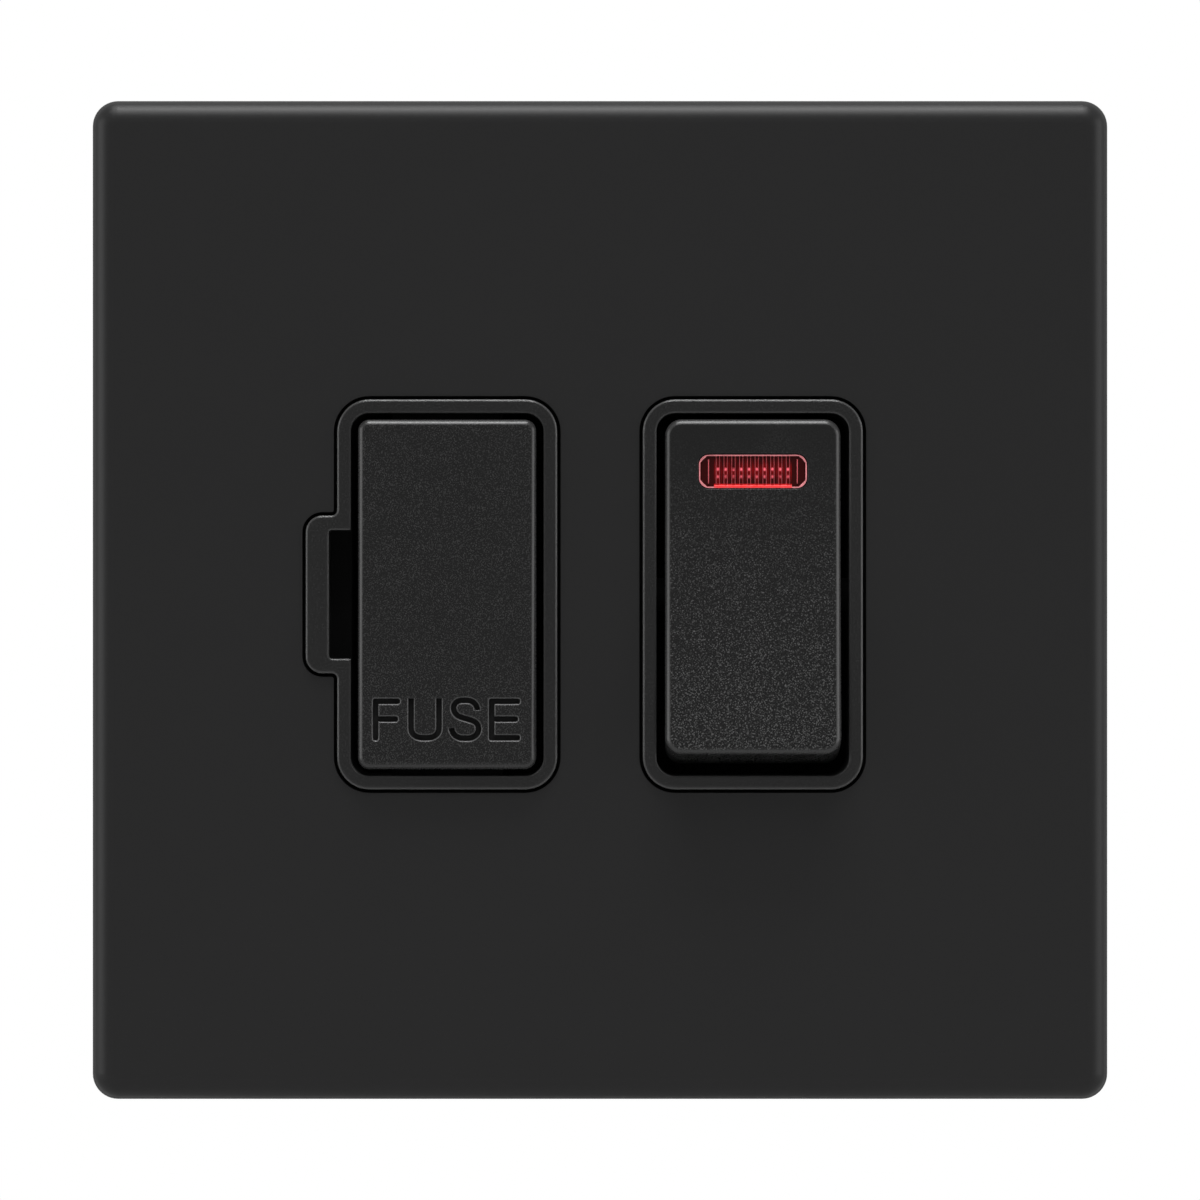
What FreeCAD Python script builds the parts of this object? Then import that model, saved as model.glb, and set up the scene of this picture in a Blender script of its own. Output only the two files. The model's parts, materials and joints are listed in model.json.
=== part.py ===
import FreeCAD
import Part
import math
import os
from FreeCAD import Placement, Rotation, Vector

# Switched fused connection unit for a square wall box, with a clip-on flat plate.
# Millimetres. X runs to the right and Z up as the unit is seen on the wall, and Y runs into the wall.
# The origin is on the wall face, midway between the two fixing screws.
# The fuse carrier slides out to the front, and the rocker tilts about a line along X.
# The rocker is drawn switched off: its top is pressed in and its bottom stands out.

# Front plate: a moulded lid, open behind
PLATE_SIDE_MARGIN = 6.75
PLATE_END_MARGIN = 8.0
PLATE_DEPTH = 6.5
PLATE_CORNER = 2.3
PLATE_EDGE = 2.0
PLATE_SKIN = 2.2
PLATE_RIM = 1.8
PLATE_RIB_THICKNESS = 1.2
PLATE_RIB_HEIGHT = 1.5
PLATE_RIB_MARGIN = 10.75
LEVER_SLOT_WIDTH = 8.0
LEVER_SLOT_DEPTH = 1.3

# Hooks of the plate, which grip four raised lips of the frame
HOOK_SPACING = 40.0
HOOK_WIDTH = 9.0
HOOK_THICKNESS = 1.2
HOOK_BITE = 1.0
HOOK_CLEARANCE = 0.15

# Mounting frame: pressed steel, flat on the wall
FRAME_SIDE_BORDER = 14.8
FRAME_END_BORDER = 7.45
FRAME_SHEET = 1.0
FRAME_CORNER = 4.0
FRAME_FOLD_HEIGHT = 3.0
FRAME_FOLD_MARGIN = 8.0
LIP_WIDTH = 12.0
LIP_LENGTH = 4.0
LIP_RAISE = 2.2
FIXING_CENTRES = 60.3
FIXING_SLOT_WIDTH = 3.9
FIXING_SLOT_LENGTH = 6.0
WINDOW_SIDE_GAP = 0.3
WINDOW_END_GAP = 0.15
WINDOW_CORNER = 3.0
TONGUE_WIDTH = 6.0
TONGUE_LENGTH = 7.5

# Module: two framed wells side by side, a little above the middle of the plate
MODULE_LIFT = 0.5
WELL_SPACING = 27.5
BEZEL_PROUD = 0.4
BEZEL_WIDTH = 19.8
BEZEL_CORNER = 2.9
BEZEL_WALL = 1.22
BEZEL_EDGE = 0.2
BEZEL_GAP = 0.3

# Notch beside the fuse well, where a screwdriver levers the carrier out
NOTCH_REACH = 2.83
NOTCH_HEIGHT = 14.2
NOTCH_CORNER = 1.5
NOTCH_CREASE = 0.5
PRY_SLOT_REACH = 1.98
PRY_SLOT_HEIGHT = 11.6
PRY_SLOT_CORNER = 0.3
PRY_SLOT_DEPTH = 5.0
NOTCH_LEDGE = 0.05

# Front housing
SKIN_GAP = 0.2
FLANGE_THICKNESS = 1.6
FLANGE_WALL = 1.5
FLANGE_OVERLAP = 1.2
FUSE_WELL_DEPTH = 14.9
WELL_FLOOR = 1.1
ROCKER_WELL_DEPTH = 14.9
ROCKER_FLOOR = 1.0
PLUNGER_SLOT_PLAY = 0.3

# Rear housing
CASE_WALL = 1.6
CASE_CORNER = 2.5
CASE_CLEARANCE = 0.25
CASE_INNER_DEPTH = 16.5
CASE_BACK = 1.8
COLLAR_HEIGHT = 1.7
COLLAR_WALL = 1.4
BARRIER = 1.2

# Screws that hold the two housings together
CASE_SCREW_INSET = 2.5
CASE_SCREW_RADIUS = 1.2
CASE_SCREW_HEAD_RADIUS = 2.2
CASE_SCREW_HEAD = 1.5
CASE_SCREW_PLAY = 0.15
BOSS_RADIUS = 2.2
BOSS_JOINT_DEPTH = 5.0
BOSS_GRIP = 5.5

# Fuse carrier
CAP_PROUD = 1.0
CAP_SIDE_GAP = 0.66
CAP_END_GAP = 0.6
CAP_CORNER = 1.05
CAP_EDGE = 0.7
CAP_DEPTH = 3.3
CAP_SKIN = 1.8
CAP_WALL = 1.3
CAP_LIP = 1.5
RAIL_WIDTH = 8.0
RAIL_THICKNESS = 1.1
RAIL_PLAY = 0.5
CATCH_LENGTH = 1.3
CATCH_BITE = 0.9
CATCH_PLAY = 0.1
LEDGE_LENGTH = 1.0
CARRIER_TRAVEL = 9.5
JAW_THICKNESS = 1.2
JAW_END_GAP = 1.6
JAW_MOUTH_ANGLE = 110.0

# Cartridge fuse, 25.4 x 6.35
FUSE_LENGTH = 25.4
FUSE_RADIUS = 3.175
FUSE_CAP_LENGTH = 6.3
FUSE_CAP_WALL = 0.4
FUSE_END_GAP = 0.63
FUSE_SET_BACK = 0.25

# Fuse clips
CLIP_SHEET = 0.6
CLIP_LENGTH = 5.0
CLIP_PLAY = 0.03
CLIP_MOUTH = 1.0
CLIP_TAIL_WIDTH = 3.0
TAIL_PLAY = 0.25

# Rocker, in its own frame: the pivot is the zero, and the face looks along -Y
ROCKER_SIDE_GAP = 0.78
ROCKER_END_GAP = 1.23
ROCKER_TILT = 6.0
ROCKER_PIVOT_DEPTH = 5.4
ROCKER_FACE_REACH = 6.7
ROCKER_SKIRT = 6.3
ROCKER_DRAFT = 3.2
ROCKER_CORNER = 1.5
ROCKER_EDGE = 0.7
ROCKER_WALL = 1.5
HUB_REACH = 2.6
HUB_HALF_HEIGHT = 5.0
HUB_SPREAD = 4.5
TRUNNION_RADIUS = 1.5
TRUNNION_PLAY = 0.08
TRUNNION_END_GAP = 0.2

# Plungers and their springs, one for each pole
SLEEVE_SIDE_GAP = 0.3
SLEEVE_RADIUS = 2.5
SLEEVE_REACH = 5.5
PLUNGER_RADIUS = 1.6
PLUNGER_PLAY = 0.06
PLUNGER_TIP_RADIUS = 1.3
PLUNGER_GRIP = 4.5
SPRING_WIRE = 0.42
SPRING_TURNS = 4.0
SPRING_LENGTH = 4.2

# Indicator lens
LENS_FROM_END = 4.7
LENS_SIDE_MARGIN = 3.05
LENS_HEIGHT = 3.0
LENS_CORNER = 0.9
LENS_FIT = 0.1
LENS_RECESS = 0.1
LENS_FLANGE = 0.9
LENS_FLANGE_THICKNESS = 0.7
LENS_RIB_COUNT = 10
LENS_RIB_MARGIN = 1.35
LENS_RIB_HEIGHT = 0.55

# Neon lamp, its resistor and its leads
LAMP_RADIUS = 2.0
LAMP_TIP_GAP = 1.2
LAMP_GLASS = 0.4
LAMP_PINCH = 1.2
LAMP_LEAD_ROOM = 3.2
LAMP_GAP = 0.3
LEAD_RADIUS = 0.22
LEAD_SPREAD = 1.4
LEAD_BEND = 0.6
ELECTRODE_TIP_GAP = 2.6
RESISTOR_RADIUS = 0.9
RESISTOR_LENGTH = 4.4
RESISTOR_DROP = 4.2

# Moving contacts: one see-saw for each pole, rocking on a knife edge
CONTACT_WIDTH = 4.4
CONTACT_SHEET = 1.0
CONTACT_ARM = 9.5
CONTACT_OVERHANG = 1.9
CONTACT_TAIL = 6.5
CONTACT_SWING = 9.0
CONTACT_PLAY = 0.05
KNIFE_RADIUS = 0.6
KNIFE_PLAY = 0.02
KNIFE_BITE = 0.32
KNIFE_WIDTH = 3.0
EAR_SHEET = 0.55
EAR_LENGTH = 2.0
EAR_DEPTH = 1.3
TIP_RADIUS = 1.7
TIP_RIM = 0.4
TIP_DOME = 0.45
TIP_SHANK_RADIUS = 0.9
PLUNGER_GAP = 0.1

# Current-carrying strips, all in one plane on the floor of the case
STRIP_SHEET = 1.0
STRIP_WIDTH = 4.4
STRIP_TURN = 3.0

# Terminals
TERMINAL_FROM_WELL = 1.65
TERMINAL_WIDTH = 8.0
TERMINAL_LENGTH = 10.0
TERMINAL_DEPTH = 9.0
TERMINAL_GAP = 0.2
TERMINAL_BEVEL = 0.4
WIRE_BORE_RADIUS = 2.05
WIRE_ENTRY_RADIUS = 3.0
TERMINAL_SCREW_RADIUS = 1.75
TERMINAL_SCREW_PLAY = 0.03
TERMINAL_SCREW_BACK_OFF = 0.25
TERMINAL_HEAD_RADIUS = 2.8
TERMINAL_HEAD = 1.7
TERMINAL_HEAD_GAP = 0.4
TERMINAL_HEAD_PLAY = 0.4
DRIVER_SLOT_WIDTH = 0.9
DRIVER_SLOT_DEPTH = 0.8

# Earth strap
STRAP_WIDTH = 5.0
RIVET_RADIUS = 1.2
RIVET_HEAD_RADIUS = 2.0
RIVET_HEAD = 0.7

# Levels along Y, from the front to the back
plate_face = -PLATE_DEPTH
skin_back = plate_face + PLATE_SKIN
bezel_face = plate_face - BEZEL_PROUD
cap_face = bezel_face - CAP_PROUD
cap_back = cap_face + CAP_DEPTH
flange_face = skin_back + SKIN_GAP
flange_back = flange_face + FLANGE_THICKNESS
frame_face = -FRAME_SHEET
strip_back = CASE_INNER_DEPTH
strip_face = strip_back - STRIP_SHEET
case_back = CASE_INNER_DEPTH + CASE_BACK
fuse_well_back = bezel_face + FUSE_WELL_DEPTH + WELL_FLOOR
rocker_well_back = bezel_face + ROCKER_WELL_DEPTH

# Places across the unit, worked out from the fuse and the wells to the outside
well_half_width = BEZEL_WIDTH / 2 - BEZEL_WALL
well_half_height = FUSE_LENGTH / 2 + FUSE_END_GAP + RAIL_THICKNESS + CAP_WALL + CAP_END_GAP
bezel_height = 2 * (well_half_height + BEZEL_WALL)
fuse_x = -WELL_SPACING / 2
rocker_x = WELL_SPACING / 2
rocker_half_width = well_half_width - ROCKER_SIDE_GAP
pole_spacing = 2 * (rocker_half_width - ROCKER_WALL - SLEEVE_SIDE_GAP - SLEEVE_RADIUS)
live_x = rocker_x - pole_spacing / 2
neutral_x = rocker_x + pole_spacing / 2
jaw_length = FUSE_LENGTH - 2 * (FUSE_CAP_LENGTH + JAW_END_GAP)
terminal_start = bezel_height / 2 + TERMINAL_FROM_WELL
terminal_end = terminal_start + TERMINAL_LENGTH
case_half_height = terminal_end + TERMINAL_GAP + CASE_WALL
case_half_inner = WELL_SPACING / 2 + BEZEL_WIDTH / 2 + CASE_CLEARANCE
case_half_width = case_half_inner + CASE_WALL
case_screw_x = case_half_inner - CASE_SCREW_INSET
case_screw_z = case_half_height - CASE_WALL - CASE_SCREW_INSET
terminal_spacing = case_screw_x - BOSS_RADIUS - TERMINAL_GAP - TERMINAL_WIDTH / 2
terminal_face = strip_face - TERMINAL_DEPTH
terminal_middle = strip_face - TERMINAL_DEPTH / 2
window_half_width = case_half_inner + WINDOW_SIDE_GAP
window_half_height = case_half_height - CASE_WALL + WINDOW_END_GAP
frame_width = 2 * (window_half_width + FRAME_SIDE_BORDER)
frame_height = 2 * (window_half_height + FRAME_END_BORDER)
plate_width = frame_width + 2 * PLATE_SIDE_MARGIN
plate_height = frame_height + 2 * PLATE_END_MARGIN

# Rocker: the hollow face is an arc whose slope at the ends equals the tilt
pivot_y = bezel_face + ROCKER_PIVOT_DEPTH
face_half_height = well_half_height - ROCKER_END_GAP
face_radius = face_half_height / math.sin(math.radians(ROCKER_TILT))
face_sagitta = face_radius - math.sqrt(face_radius**2 - face_half_height**2)
face_centre_y = -ROCKER_FACE_REACH - face_radius
face_edge_y = -ROCKER_FACE_REACH - face_sagitta
spring_seat_y = SLEEVE_REACH - PLUNGER_GRIP - SPRING_LENGTH
plunger_top_y = SLEEVE_REACH - PLUNGER_GRIP

# Lens and lamp, in the rocker's frame
lens_z = face_half_height - LENS_FROM_END
lens_width = 2 * (rocker_half_width - LENS_SIDE_MARGIN)
lens_rib_pitch = (lens_width - 2 * LENS_RIB_MARGIN) / LENS_RIB_COUNT
lamp_left = LAMP_TIP_GAP + ROCKER_WALL - rocker_half_width
lamp_right = rocker_half_width - ROCKER_WALL - LAMP_LEAD_ROOM

# Fuse
fuse_y = cap_back + FUSE_SET_BACK + FUSE_RADIUS
fuse_body_radius = FUSE_RADIUS - FUSE_CAP_WALL

# Knife edge that carries each moving contact: the closed tip just meets the fixed tip
swing = math.radians(CONTACT_SWING)
contact_back = -(KNIFE_RADIUS + KNIFE_PLAY - KNIFE_BITE)
contact_front = contact_back - CONTACT_SHEET
dome_radius = (TIP_RADIUS**2 + TIP_DOME**2) / (2 * TIP_DOME)
dome_centre = contact_back + TIP_RIM + TIP_DOME - dome_radius
closed_reach = dome_centre * math.cos(swing) + CONTACT_ARM * math.sin(swing) + dome_radius
closed_drop = CONTACT_ARM * math.cos(swing) - dome_centre * math.sin(swing)
fixed_tip_face = strip_face - TIP_RIM - TIP_DOME
knife_y = fixed_tip_face - CONTACT_PLAY - closed_reach
plunger_tip_y = knife_y + contact_front - PLUNGER_GAP - pivot_y


def block(x, y, z):
    """A box between two limits on each axis."""
    return Part.makeBox(x[1] - x[0], y[1] - y[0], z[1] - z[0], Vector(x[0], y[0], z[0]))


def about(middle, half):
    """The limits that lie half a size to each side of a middle."""
    return (middle - half, middle + half)


def rod_x(x, y, z, radius):
    return Part.makeCylinder(radius, x[1] - x[0], Vector(x[0], y, z), Vector(1, 0, 0))


def rod_y(x, y, z, radius):
    return Part.makeCylinder(radius, y[1] - y[0], Vector(x, y[0], z), Vector(0, 1, 0))


def rod_z(x, y, z, radius):
    return Part.makeCylinder(radius, z[1] - z[0], Vector(x, y, z[0]), Vector(0, 0, 1))


def rounded(x, y, z, radius):
    """A bar along Y whose section is a rectangle with round corners."""
    (left, right), (low, high) = x, z
    inset = radius * (1 - math.sqrt(0.5))
    start = y[0]

    def point(px, pz):
        return Vector(px, start, pz)

    corners = [
        (point(right - radius, low), point(right - inset, low + inset), point(right, low + radius)),
        (point(right, high - radius), point(right - inset, high - inset), point(right - radius, high)),
        (point(left + radius, high), point(left + inset, high - inset), point(left, high - radius)),
        (point(left, low + radius), point(left + inset, low + inset), point(left + radius, low)),
    ]
    edges = []
    for index, corner in enumerate(corners):
        edges.append(Part.Arc(*corner).toShape())
        edges.append(Part.LineSegment(corner[2], corners[(index + 1) % 4][0]).toShape())
    return Part.Face(Part.Wire(edges)).extrude(Vector(0, y[1] - y[0], 0))


def joined(first, *others):
    return first.fuse(list(others)).removeSplitter()


def edges_at(shape, y):
    """The edges that lie whole in one plane across Y."""
    return [e for e in shape.Edges if all(abs(v.Y - y) < 1e-5 for v in e.Vertexes)
            and abs(e.CenterOfMass.y - y) < 1e-5]


def upright_edges(shape, x, z):
    """The straight edges along Y that pass through one point of the front view."""
    found = []
    for edge in shape.Edges:
        ends = edge.Vertexes
        if len(ends) == 2 and all(math.hypot(v.X - x, v.Z - z) < 1e-5 for v in ends):
            found.append(edge)
    return found


def mirrored_z(shape):
    """The same piece on the other side of the module's middle line."""
    return shape.mirror(Vector(0, 0, MODULE_LIFT), Vector(0, 0, 1))


def up(*distances):
    """Heights above the module's middle line."""
    return tuple(MODULE_LIFT + d for d in distances)


def well_outline(x, y, grow, notched):
    """The outline of a bezel, grown by a clearance, as a bar along Y."""
    bar = rounded(
        about(x, BEZEL_WIDTH / 2 + grow),
        y,
        about(MODULE_LIFT, bezel_height / 2 + grow),
        BEZEL_CORNER + grow,
    )
    if not notched:
        return bar
    edge = x - BEZEL_WIDTH / 2 - grow
    half = NOTCH_HEIGHT / 2 + grow
    notch = rounded((edge - NOTCH_REACH, x), y, about(MODULE_LIFT, half), NOTCH_CORNER + grow)
    bar = joined(bar, notch)
    creases = upright_edges(bar, edge, MODULE_LIFT - half) + upright_edges(bar, edge, MODULE_LIFT + half)
    return bar.makeFillet(NOTCH_CREASE - grow, creases)


def bent_wire(points, bend, radius):
    """A thin wire, six-sided, along square turns that are tangent arcs. Its first run is along X."""
    edges = []
    start = points[0]
    for before, corner, after in zip(points, points[1:], points[2:]):
        into = (corner - before).normalize()
        out = (after - corner).normalize()
        enter = corner - into * bend
        leave = corner + out * bend
        middle = corner + (out - into) * (bend * (1 - math.sqrt(0.5)))
        edges.append(Part.LineSegment(start, enter).toShape())
        edges.append(Part.Arc(enter, middle, leave).toShape())
        start = leave
    edges.append(Part.LineSegment(start, points[-1]).toShape())
    turns = [math.radians(60 * k) for k in range(6)]
    rim = [points[0] + Vector(0, radius * math.cos(a), radius * math.sin(a)) for a in turns]
    return Part.Wire(edges).makePipe(Part.Face(Part.makePolygon(rim + rim[:1])))


def front_plate():
    """The clip-on lid: rounded front, open back, two cut-outs, four hooks and two ribs."""
    lid = rounded(about(0, plate_width / 2), (plate_face, 0), about(0, plate_height / 2), PLATE_CORNER)
    lid = lid.makeFillet(PLATE_EDGE, edges_at(lid, plate_face))
    hollow = rounded(
        about(0, plate_width / 2 - PLATE_RIM),
        (skin_back, 0),
        about(0, plate_height / 2 - PLATE_RIM),
        PLATE_CORNER - PLATE_RIM / 2,
    )
    through = (plate_face, skin_back)
    lid = lid.cut([
        hollow,
        well_outline(fuse_x, through, BEZEL_GAP, True),
        well_outline(rocker_x, through, BEZEL_GAP, False),
        block(
            about(0, LEVER_SLOT_WIDTH / 2),
            (-LEVER_SLOT_DEPTH, 0),
            (-plate_height / 2, -plate_height / 2 + PLATE_RIM),
        ),
    ])
    lip_end = frame_height / 2 + LIP_LENGTH
    arm_start = lip_end + HOOK_CLEARANCE
    barb_face = frame_face - LIP_RAISE + FRAME_SHEET + HOOK_CLEARANCE
    hooks = []
    for side in (-1, 1):
        for row in (-1, 1):
            across = about(side * HOOK_SPACING / 2, HOOK_WIDTH / 2)
            profile = [
                (skin_back, arm_start),
                (barb_face, arm_start),
                (barb_face, arm_start - HOOK_BITE),
                (barb_face + HOOK_BITE, arm_start),
                (barb_face + HOOK_BITE, arm_start + HOOK_THICKNESS),
                (skin_back, arm_start + HOOK_THICKNESS),
            ]
            points = [Vector(across[0], y, row * z) for y, z in profile]
            outline = Part.Face(Part.makePolygon(points + points[:1]))
            hooks.append(outline.extrude(Vector(HOOK_WIDTH, 0, 0)))
    rib_z = (window_half_height + frame_height / 2) / 2 + 1
    ribs = [
        block(
            about(0, plate_width / 2 - PLATE_RIB_MARGIN),
            (skin_back, skin_back + PLATE_RIB_HEIGHT),
            about(row * rib_z, PLATE_RIB_THICKNESS / 2),
        )
        for row in (-1, 1)
    ]
    return joined(lid, *hooks, *ribs)


def fixing_slots(y):
    """The two slots for the fixing screws, which lie level and let the unit be turned true."""
    radius = FIXING_SLOT_WIDTH / 2
    straight = FIXING_SLOT_LENGTH / 2 - radius
    slots = []
    for centre in (-FIXING_CENTRES / 2, FIXING_CENTRES / 2):
        ends = [rod_y(centre + side * straight, y, 0, radius) for side in (-1, 1)]
        slots.append(joined(block(about(centre, straight), y, about(0, radius)), *ends))
    return slots


def mounting_frame():
    """Pressed steel sheet with folded sides, raised lips, two fixing slots and an earth tongue."""
    sheet = (frame_face, 0)
    frame = rounded(about(0, frame_width / 2), sheet, about(0, frame_height / 2), FRAME_CORNER)
    window = rounded(
        about(0, window_half_width), sheet, about(MODULE_LIFT, window_half_height), WINDOW_CORNER
    )
    frame = frame.cut([window, *fixing_slots(sheet)])
    folds = [
        block(
            (side * frame_width / 2 - (FRAME_SHEET if side > 0 else 0),
             side * frame_width / 2 + (0 if side > 0 else FRAME_SHEET)),
            (-FRAME_FOLD_HEIGHT, 0),
            about(0, frame_height / 2 - FRAME_FOLD_MARGIN),
        )
        for side in (-1, 1)
    ]
    lips = []
    edge = frame_height / 2
    for side in (-1, 1):
        for row in (-1, 1):
            profile = [
                (frame_face, edge - FRAME_SHEET),
                (0, edge - FRAME_SHEET),
                (0, edge),
                (frame_face - LIP_RAISE + FRAME_SHEET, edge + FRAME_SHEET),
                (frame_face - LIP_RAISE + FRAME_SHEET, edge + LIP_LENGTH),
                (frame_face - LIP_RAISE, edge + LIP_LENGTH),
                (frame_face - LIP_RAISE, edge + FRAME_SHEET / 2),
            ]
            left = side * HOOK_SPACING / 2 - LIP_WIDTH / 2
            points = [Vector(left, y, row * z) for y, z in profile]
            outline = Part.Face(Part.makePolygon(points + points[:1]))
            lips.append(outline.extrude(Vector(LIP_WIDTH, 0, 0)))
    tongue = block(
        about(0, TONGUE_WIDTH / 2),
        sheet,
        up(window_half_height - TONGUE_LENGTH, window_half_height + FRAME_SHEET),
    )
    rivet_hole = rod_y(0, sheet, rivet_z(), RIVET_RADIUS)
    return joined(frame, *folds, *lips, tongue).cut(rivet_hole)


def rivet_z():
    """Height of the rivet that joins the earth strap to the frame's tongue."""
    return MODULE_LIFT + window_half_height - TONGUE_LENGTH + RIVET_HEAD_RADIUS + 0.5


def case_screw_places():
    return [(x, MODULE_LIFT + z) for x in (-case_screw_x, case_screw_x) for z in (-case_screw_z, case_screw_z)]


def front_housing():
    """The black moulding: two framed wells on a flange that rests on the mounting frame."""
    flange_half_width = window_half_width + FLANGE_OVERLAP
    flange_half_height = window_half_height + FLANGE_OVERLAP
    flange = rounded(
        about(0, flange_half_width),
        (flange_face, frame_face),
        about(MODULE_LIFT, flange_half_height),
        WINDOW_CORNER,
    )
    recess = rounded(
        about(0, flange_half_width - FLANGE_WALL),
        (flange_back, frame_face),
        about(MODULE_LIFT, flange_half_height - FLANGE_WALL),
        WINDOW_CORNER - FLANGE_WALL / 2,
    )
    flange = flange.cut(recess)
    fuse_frame = well_outline(fuse_x, (bezel_face, frame_face), 0, True)
    fuse_frame = fuse_frame.makeFillet(BEZEL_EDGE, edges_at(fuse_frame, bezel_face))
    fuse_tube = well_outline(fuse_x, (frame_face, fuse_well_back), 0, False)
    rocker_tube = well_outline(rocker_x, (bezel_face, rocker_well_back), 0, False)
    rocker_tube = rocker_tube.makeFillet(BEZEL_EDGE, edges_at(rocker_tube, bezel_face))
    bosses = [rod_y(x, (flange_back, BOSS_JOINT_DEPTH), z, BOSS_RADIUS) for x, z in case_screw_places()]
    ribs = []
    for x in (-terminal_spacing, terminal_spacing):
        for row in (-1, 1):
            middle = MODULE_LIFT + row * (terminal_start + TERMINAL_LENGTH / 2)
            ribs.append(block(
                about(x, TERMINAL_WIDTH / 4),
                (flange_back, terminal_face),
                about(middle, BARRIER / 2),
            ))
    ledge = well_outline(fuse_x, (flange_face, flange_back), BEZEL_GAP + NOTCH_LEDGE, True)
    body = joined(flange, ledge, fuse_frame, fuse_tube, rocker_tube, *bosses, *ribs)
    inner_corner = BEZEL_CORNER - BEZEL_WALL
    fuse_hole = rounded(
        about(fuse_x, well_half_width),
        (bezel_face, fuse_well_back - WELL_FLOOR),
        about(MODULE_LIFT, well_half_height),
        inner_corner,
    )
    rocker_hole = rounded(
        about(rocker_x, well_half_width),
        (bezel_face, rocker_well_back - ROCKER_FLOOR),
        about(MODULE_LIFT, well_half_height),
        inner_corner,
    )
    slot_left = fuse_x - well_half_width - PRY_SLOT_REACH
    pry_slot = rounded(
        (slot_left, fuse_x),
        (bezel_face, bezel_face + PRY_SLOT_DEPTH),
        about(MODULE_LIFT, PRY_SLOT_HEIGHT / 2),
        PRY_SLOT_CORNER,
    )
    bearing = rod_x(
        about(rocker_x, BEZEL_WIDTH / 2), pivot_y, MODULE_LIFT, TRUNNION_RADIUS + TRUNNION_PLAY
    )
    pilots = [
        rod_y(x, (BOSS_JOINT_DEPTH - BOSS_GRIP, BOSS_JOINT_DEPTH), z, CASE_SCREW_RADIUS)
        for x, z in case_screw_places()
    ]
    tail_low, tail_high = clip_tail_limits()
    tail = block(
        about(fuse_x, CLIP_TAIL_WIDTH / 2 + TAIL_PLAY),
        (fuse_well_back - WELL_FLOOR, fuse_well_back),
        (tail_low - TAIL_PLAY, tail_high + TAIL_PLAY),
    )
    body = body.cut([
        fuse_hole, rocker_hole, pry_slot, bearing, *plunger_slots(), *pilots, tail, mirrored_z(tail)
    ])
    ledge_low = rail_outer() + RAIL_PLAY
    ledge = block(
        about(fuse_x, RAIL_WIDTH / 2 + 1),
        (ledge_back() - LEDGE_LENGTH, ledge_back()),
        up(ledge_low, well_half_height + BEZEL_WALL / 2),
    )
    return joined(body, ledge, mirrored_z(ledge))


def plunger_slots():
    """Slots in the floor of the rocker's well, in which the two plungers swing."""
    half_width = PLUNGER_TIP_RADIUS + PLUNGER_SLOT_PLAY
    sway = (rocker_well_back - pivot_y) * math.tan(math.radians(ROCKER_TILT))
    depth = (rocker_well_back - ROCKER_FLOOR, rocker_well_back)
    half_height = half_width + sway + PLUNGER_SLOT_PLAY
    return [
        rounded(about(x, half_width), depth, about(MODULE_LIFT, half_height), half_width / 2)
        for x in (live_x, neutral_x)
    ]


def rail_outer():
    """Outer side of the carrier's rails, above the module's middle line."""
    return well_half_height - CAP_END_GAP - CAP_WALL


def ledge_back():
    """Back of the ledge that stops the carrier: just behind the closed cap."""
    return cap_back + RAIL_PLAY + LEDGE_LENGTH


def rear_housing():
    """The box behind the wall: posts, collars over the terminal screws, wire entries and barriers."""
    case = rounded(
        about(0, case_half_width), (0, case_back), about(MODULE_LIFT, case_half_height), CASE_CORNER
    )
    case = case.makeChamfer(CASE_WALL / 2, edges_at(case, case_back))
    inside = rounded(
        about(0, case_half_inner),
        (0, CASE_INNER_DEPTH),
        about(MODULE_LIFT, case_half_height - CASE_WALL),
        CASE_CORNER - CASE_WALL / 2,
    )
    case = case.cut(inside)
    posts = [rod_y(x, (BOSS_JOINT_DEPTH, CASE_INNER_DEPTH), z, BOSS_RADIUS) for x, z in case_screw_places()]
    collars = [
        rod_y(x, (CASE_INNER_DEPTH, case_back + COLLAR_HEIGHT), z,
              TERMINAL_HEAD_RADIUS + TERMINAL_HEAD_PLAY + COLLAR_WALL)
        for x, z in terminal_places()
    ]
    barriers = []
    for x in (-terminal_spacing / 2, terminal_spacing / 2):
        fin = block(
            about(x, BARRIER / 2),
            (terminal_face, CASE_INNER_DEPTH),
            up(terminal_start, case_half_height - CASE_WALL / 2),
        )
        barriers += [fin, mirrored_z(fin)]
    pole_wall = block(
        about(rocker_x, BARRIER / 2),
        (knife_y - CONTACT_SHEET, CASE_INNER_DEPTH),
        about(MODULE_LIFT, CONTACT_ARM + CONTACT_OVERHANG),
    )
    case = joined(case, *posts, *collars, *barriers, pole_wall)
    head_holes = [
        rod_y(x, (CASE_INNER_DEPTH, case_back + COLLAR_HEIGHT), z, TERMINAL_HEAD_RADIUS + TERMINAL_HEAD_PLAY)
        for x, z in terminal_places()
    ]
    entries = [
        rod_z(x, terminal_middle, up(-case_half_height, case_half_height), WIRE_ENTRY_RADIUS)
        for x in (-terminal_spacing, 0, terminal_spacing)
    ]
    middle = block(
        about(0, case_half_width), (0, CASE_INNER_DEPTH), about(MODULE_LIFT, case_half_height - CASE_WALL)
    )
    entries = [entry.cut(middle) for entry in entries]
    screw_holes = []
    for x, z in case_screw_places():
        screw_holes.append(
            rod_y(x, (BOSS_JOINT_DEPTH, case_back), z, CASE_SCREW_RADIUS + CASE_SCREW_PLAY)
        )
        screw_holes.append(
            rod_y(x, (case_back - CASE_SCREW_HEAD, case_back), z, CASE_SCREW_HEAD_RADIUS + CASE_SCREW_PLAY)
        )
    return case.cut([*head_holes, *entries, *screw_holes])


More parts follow.
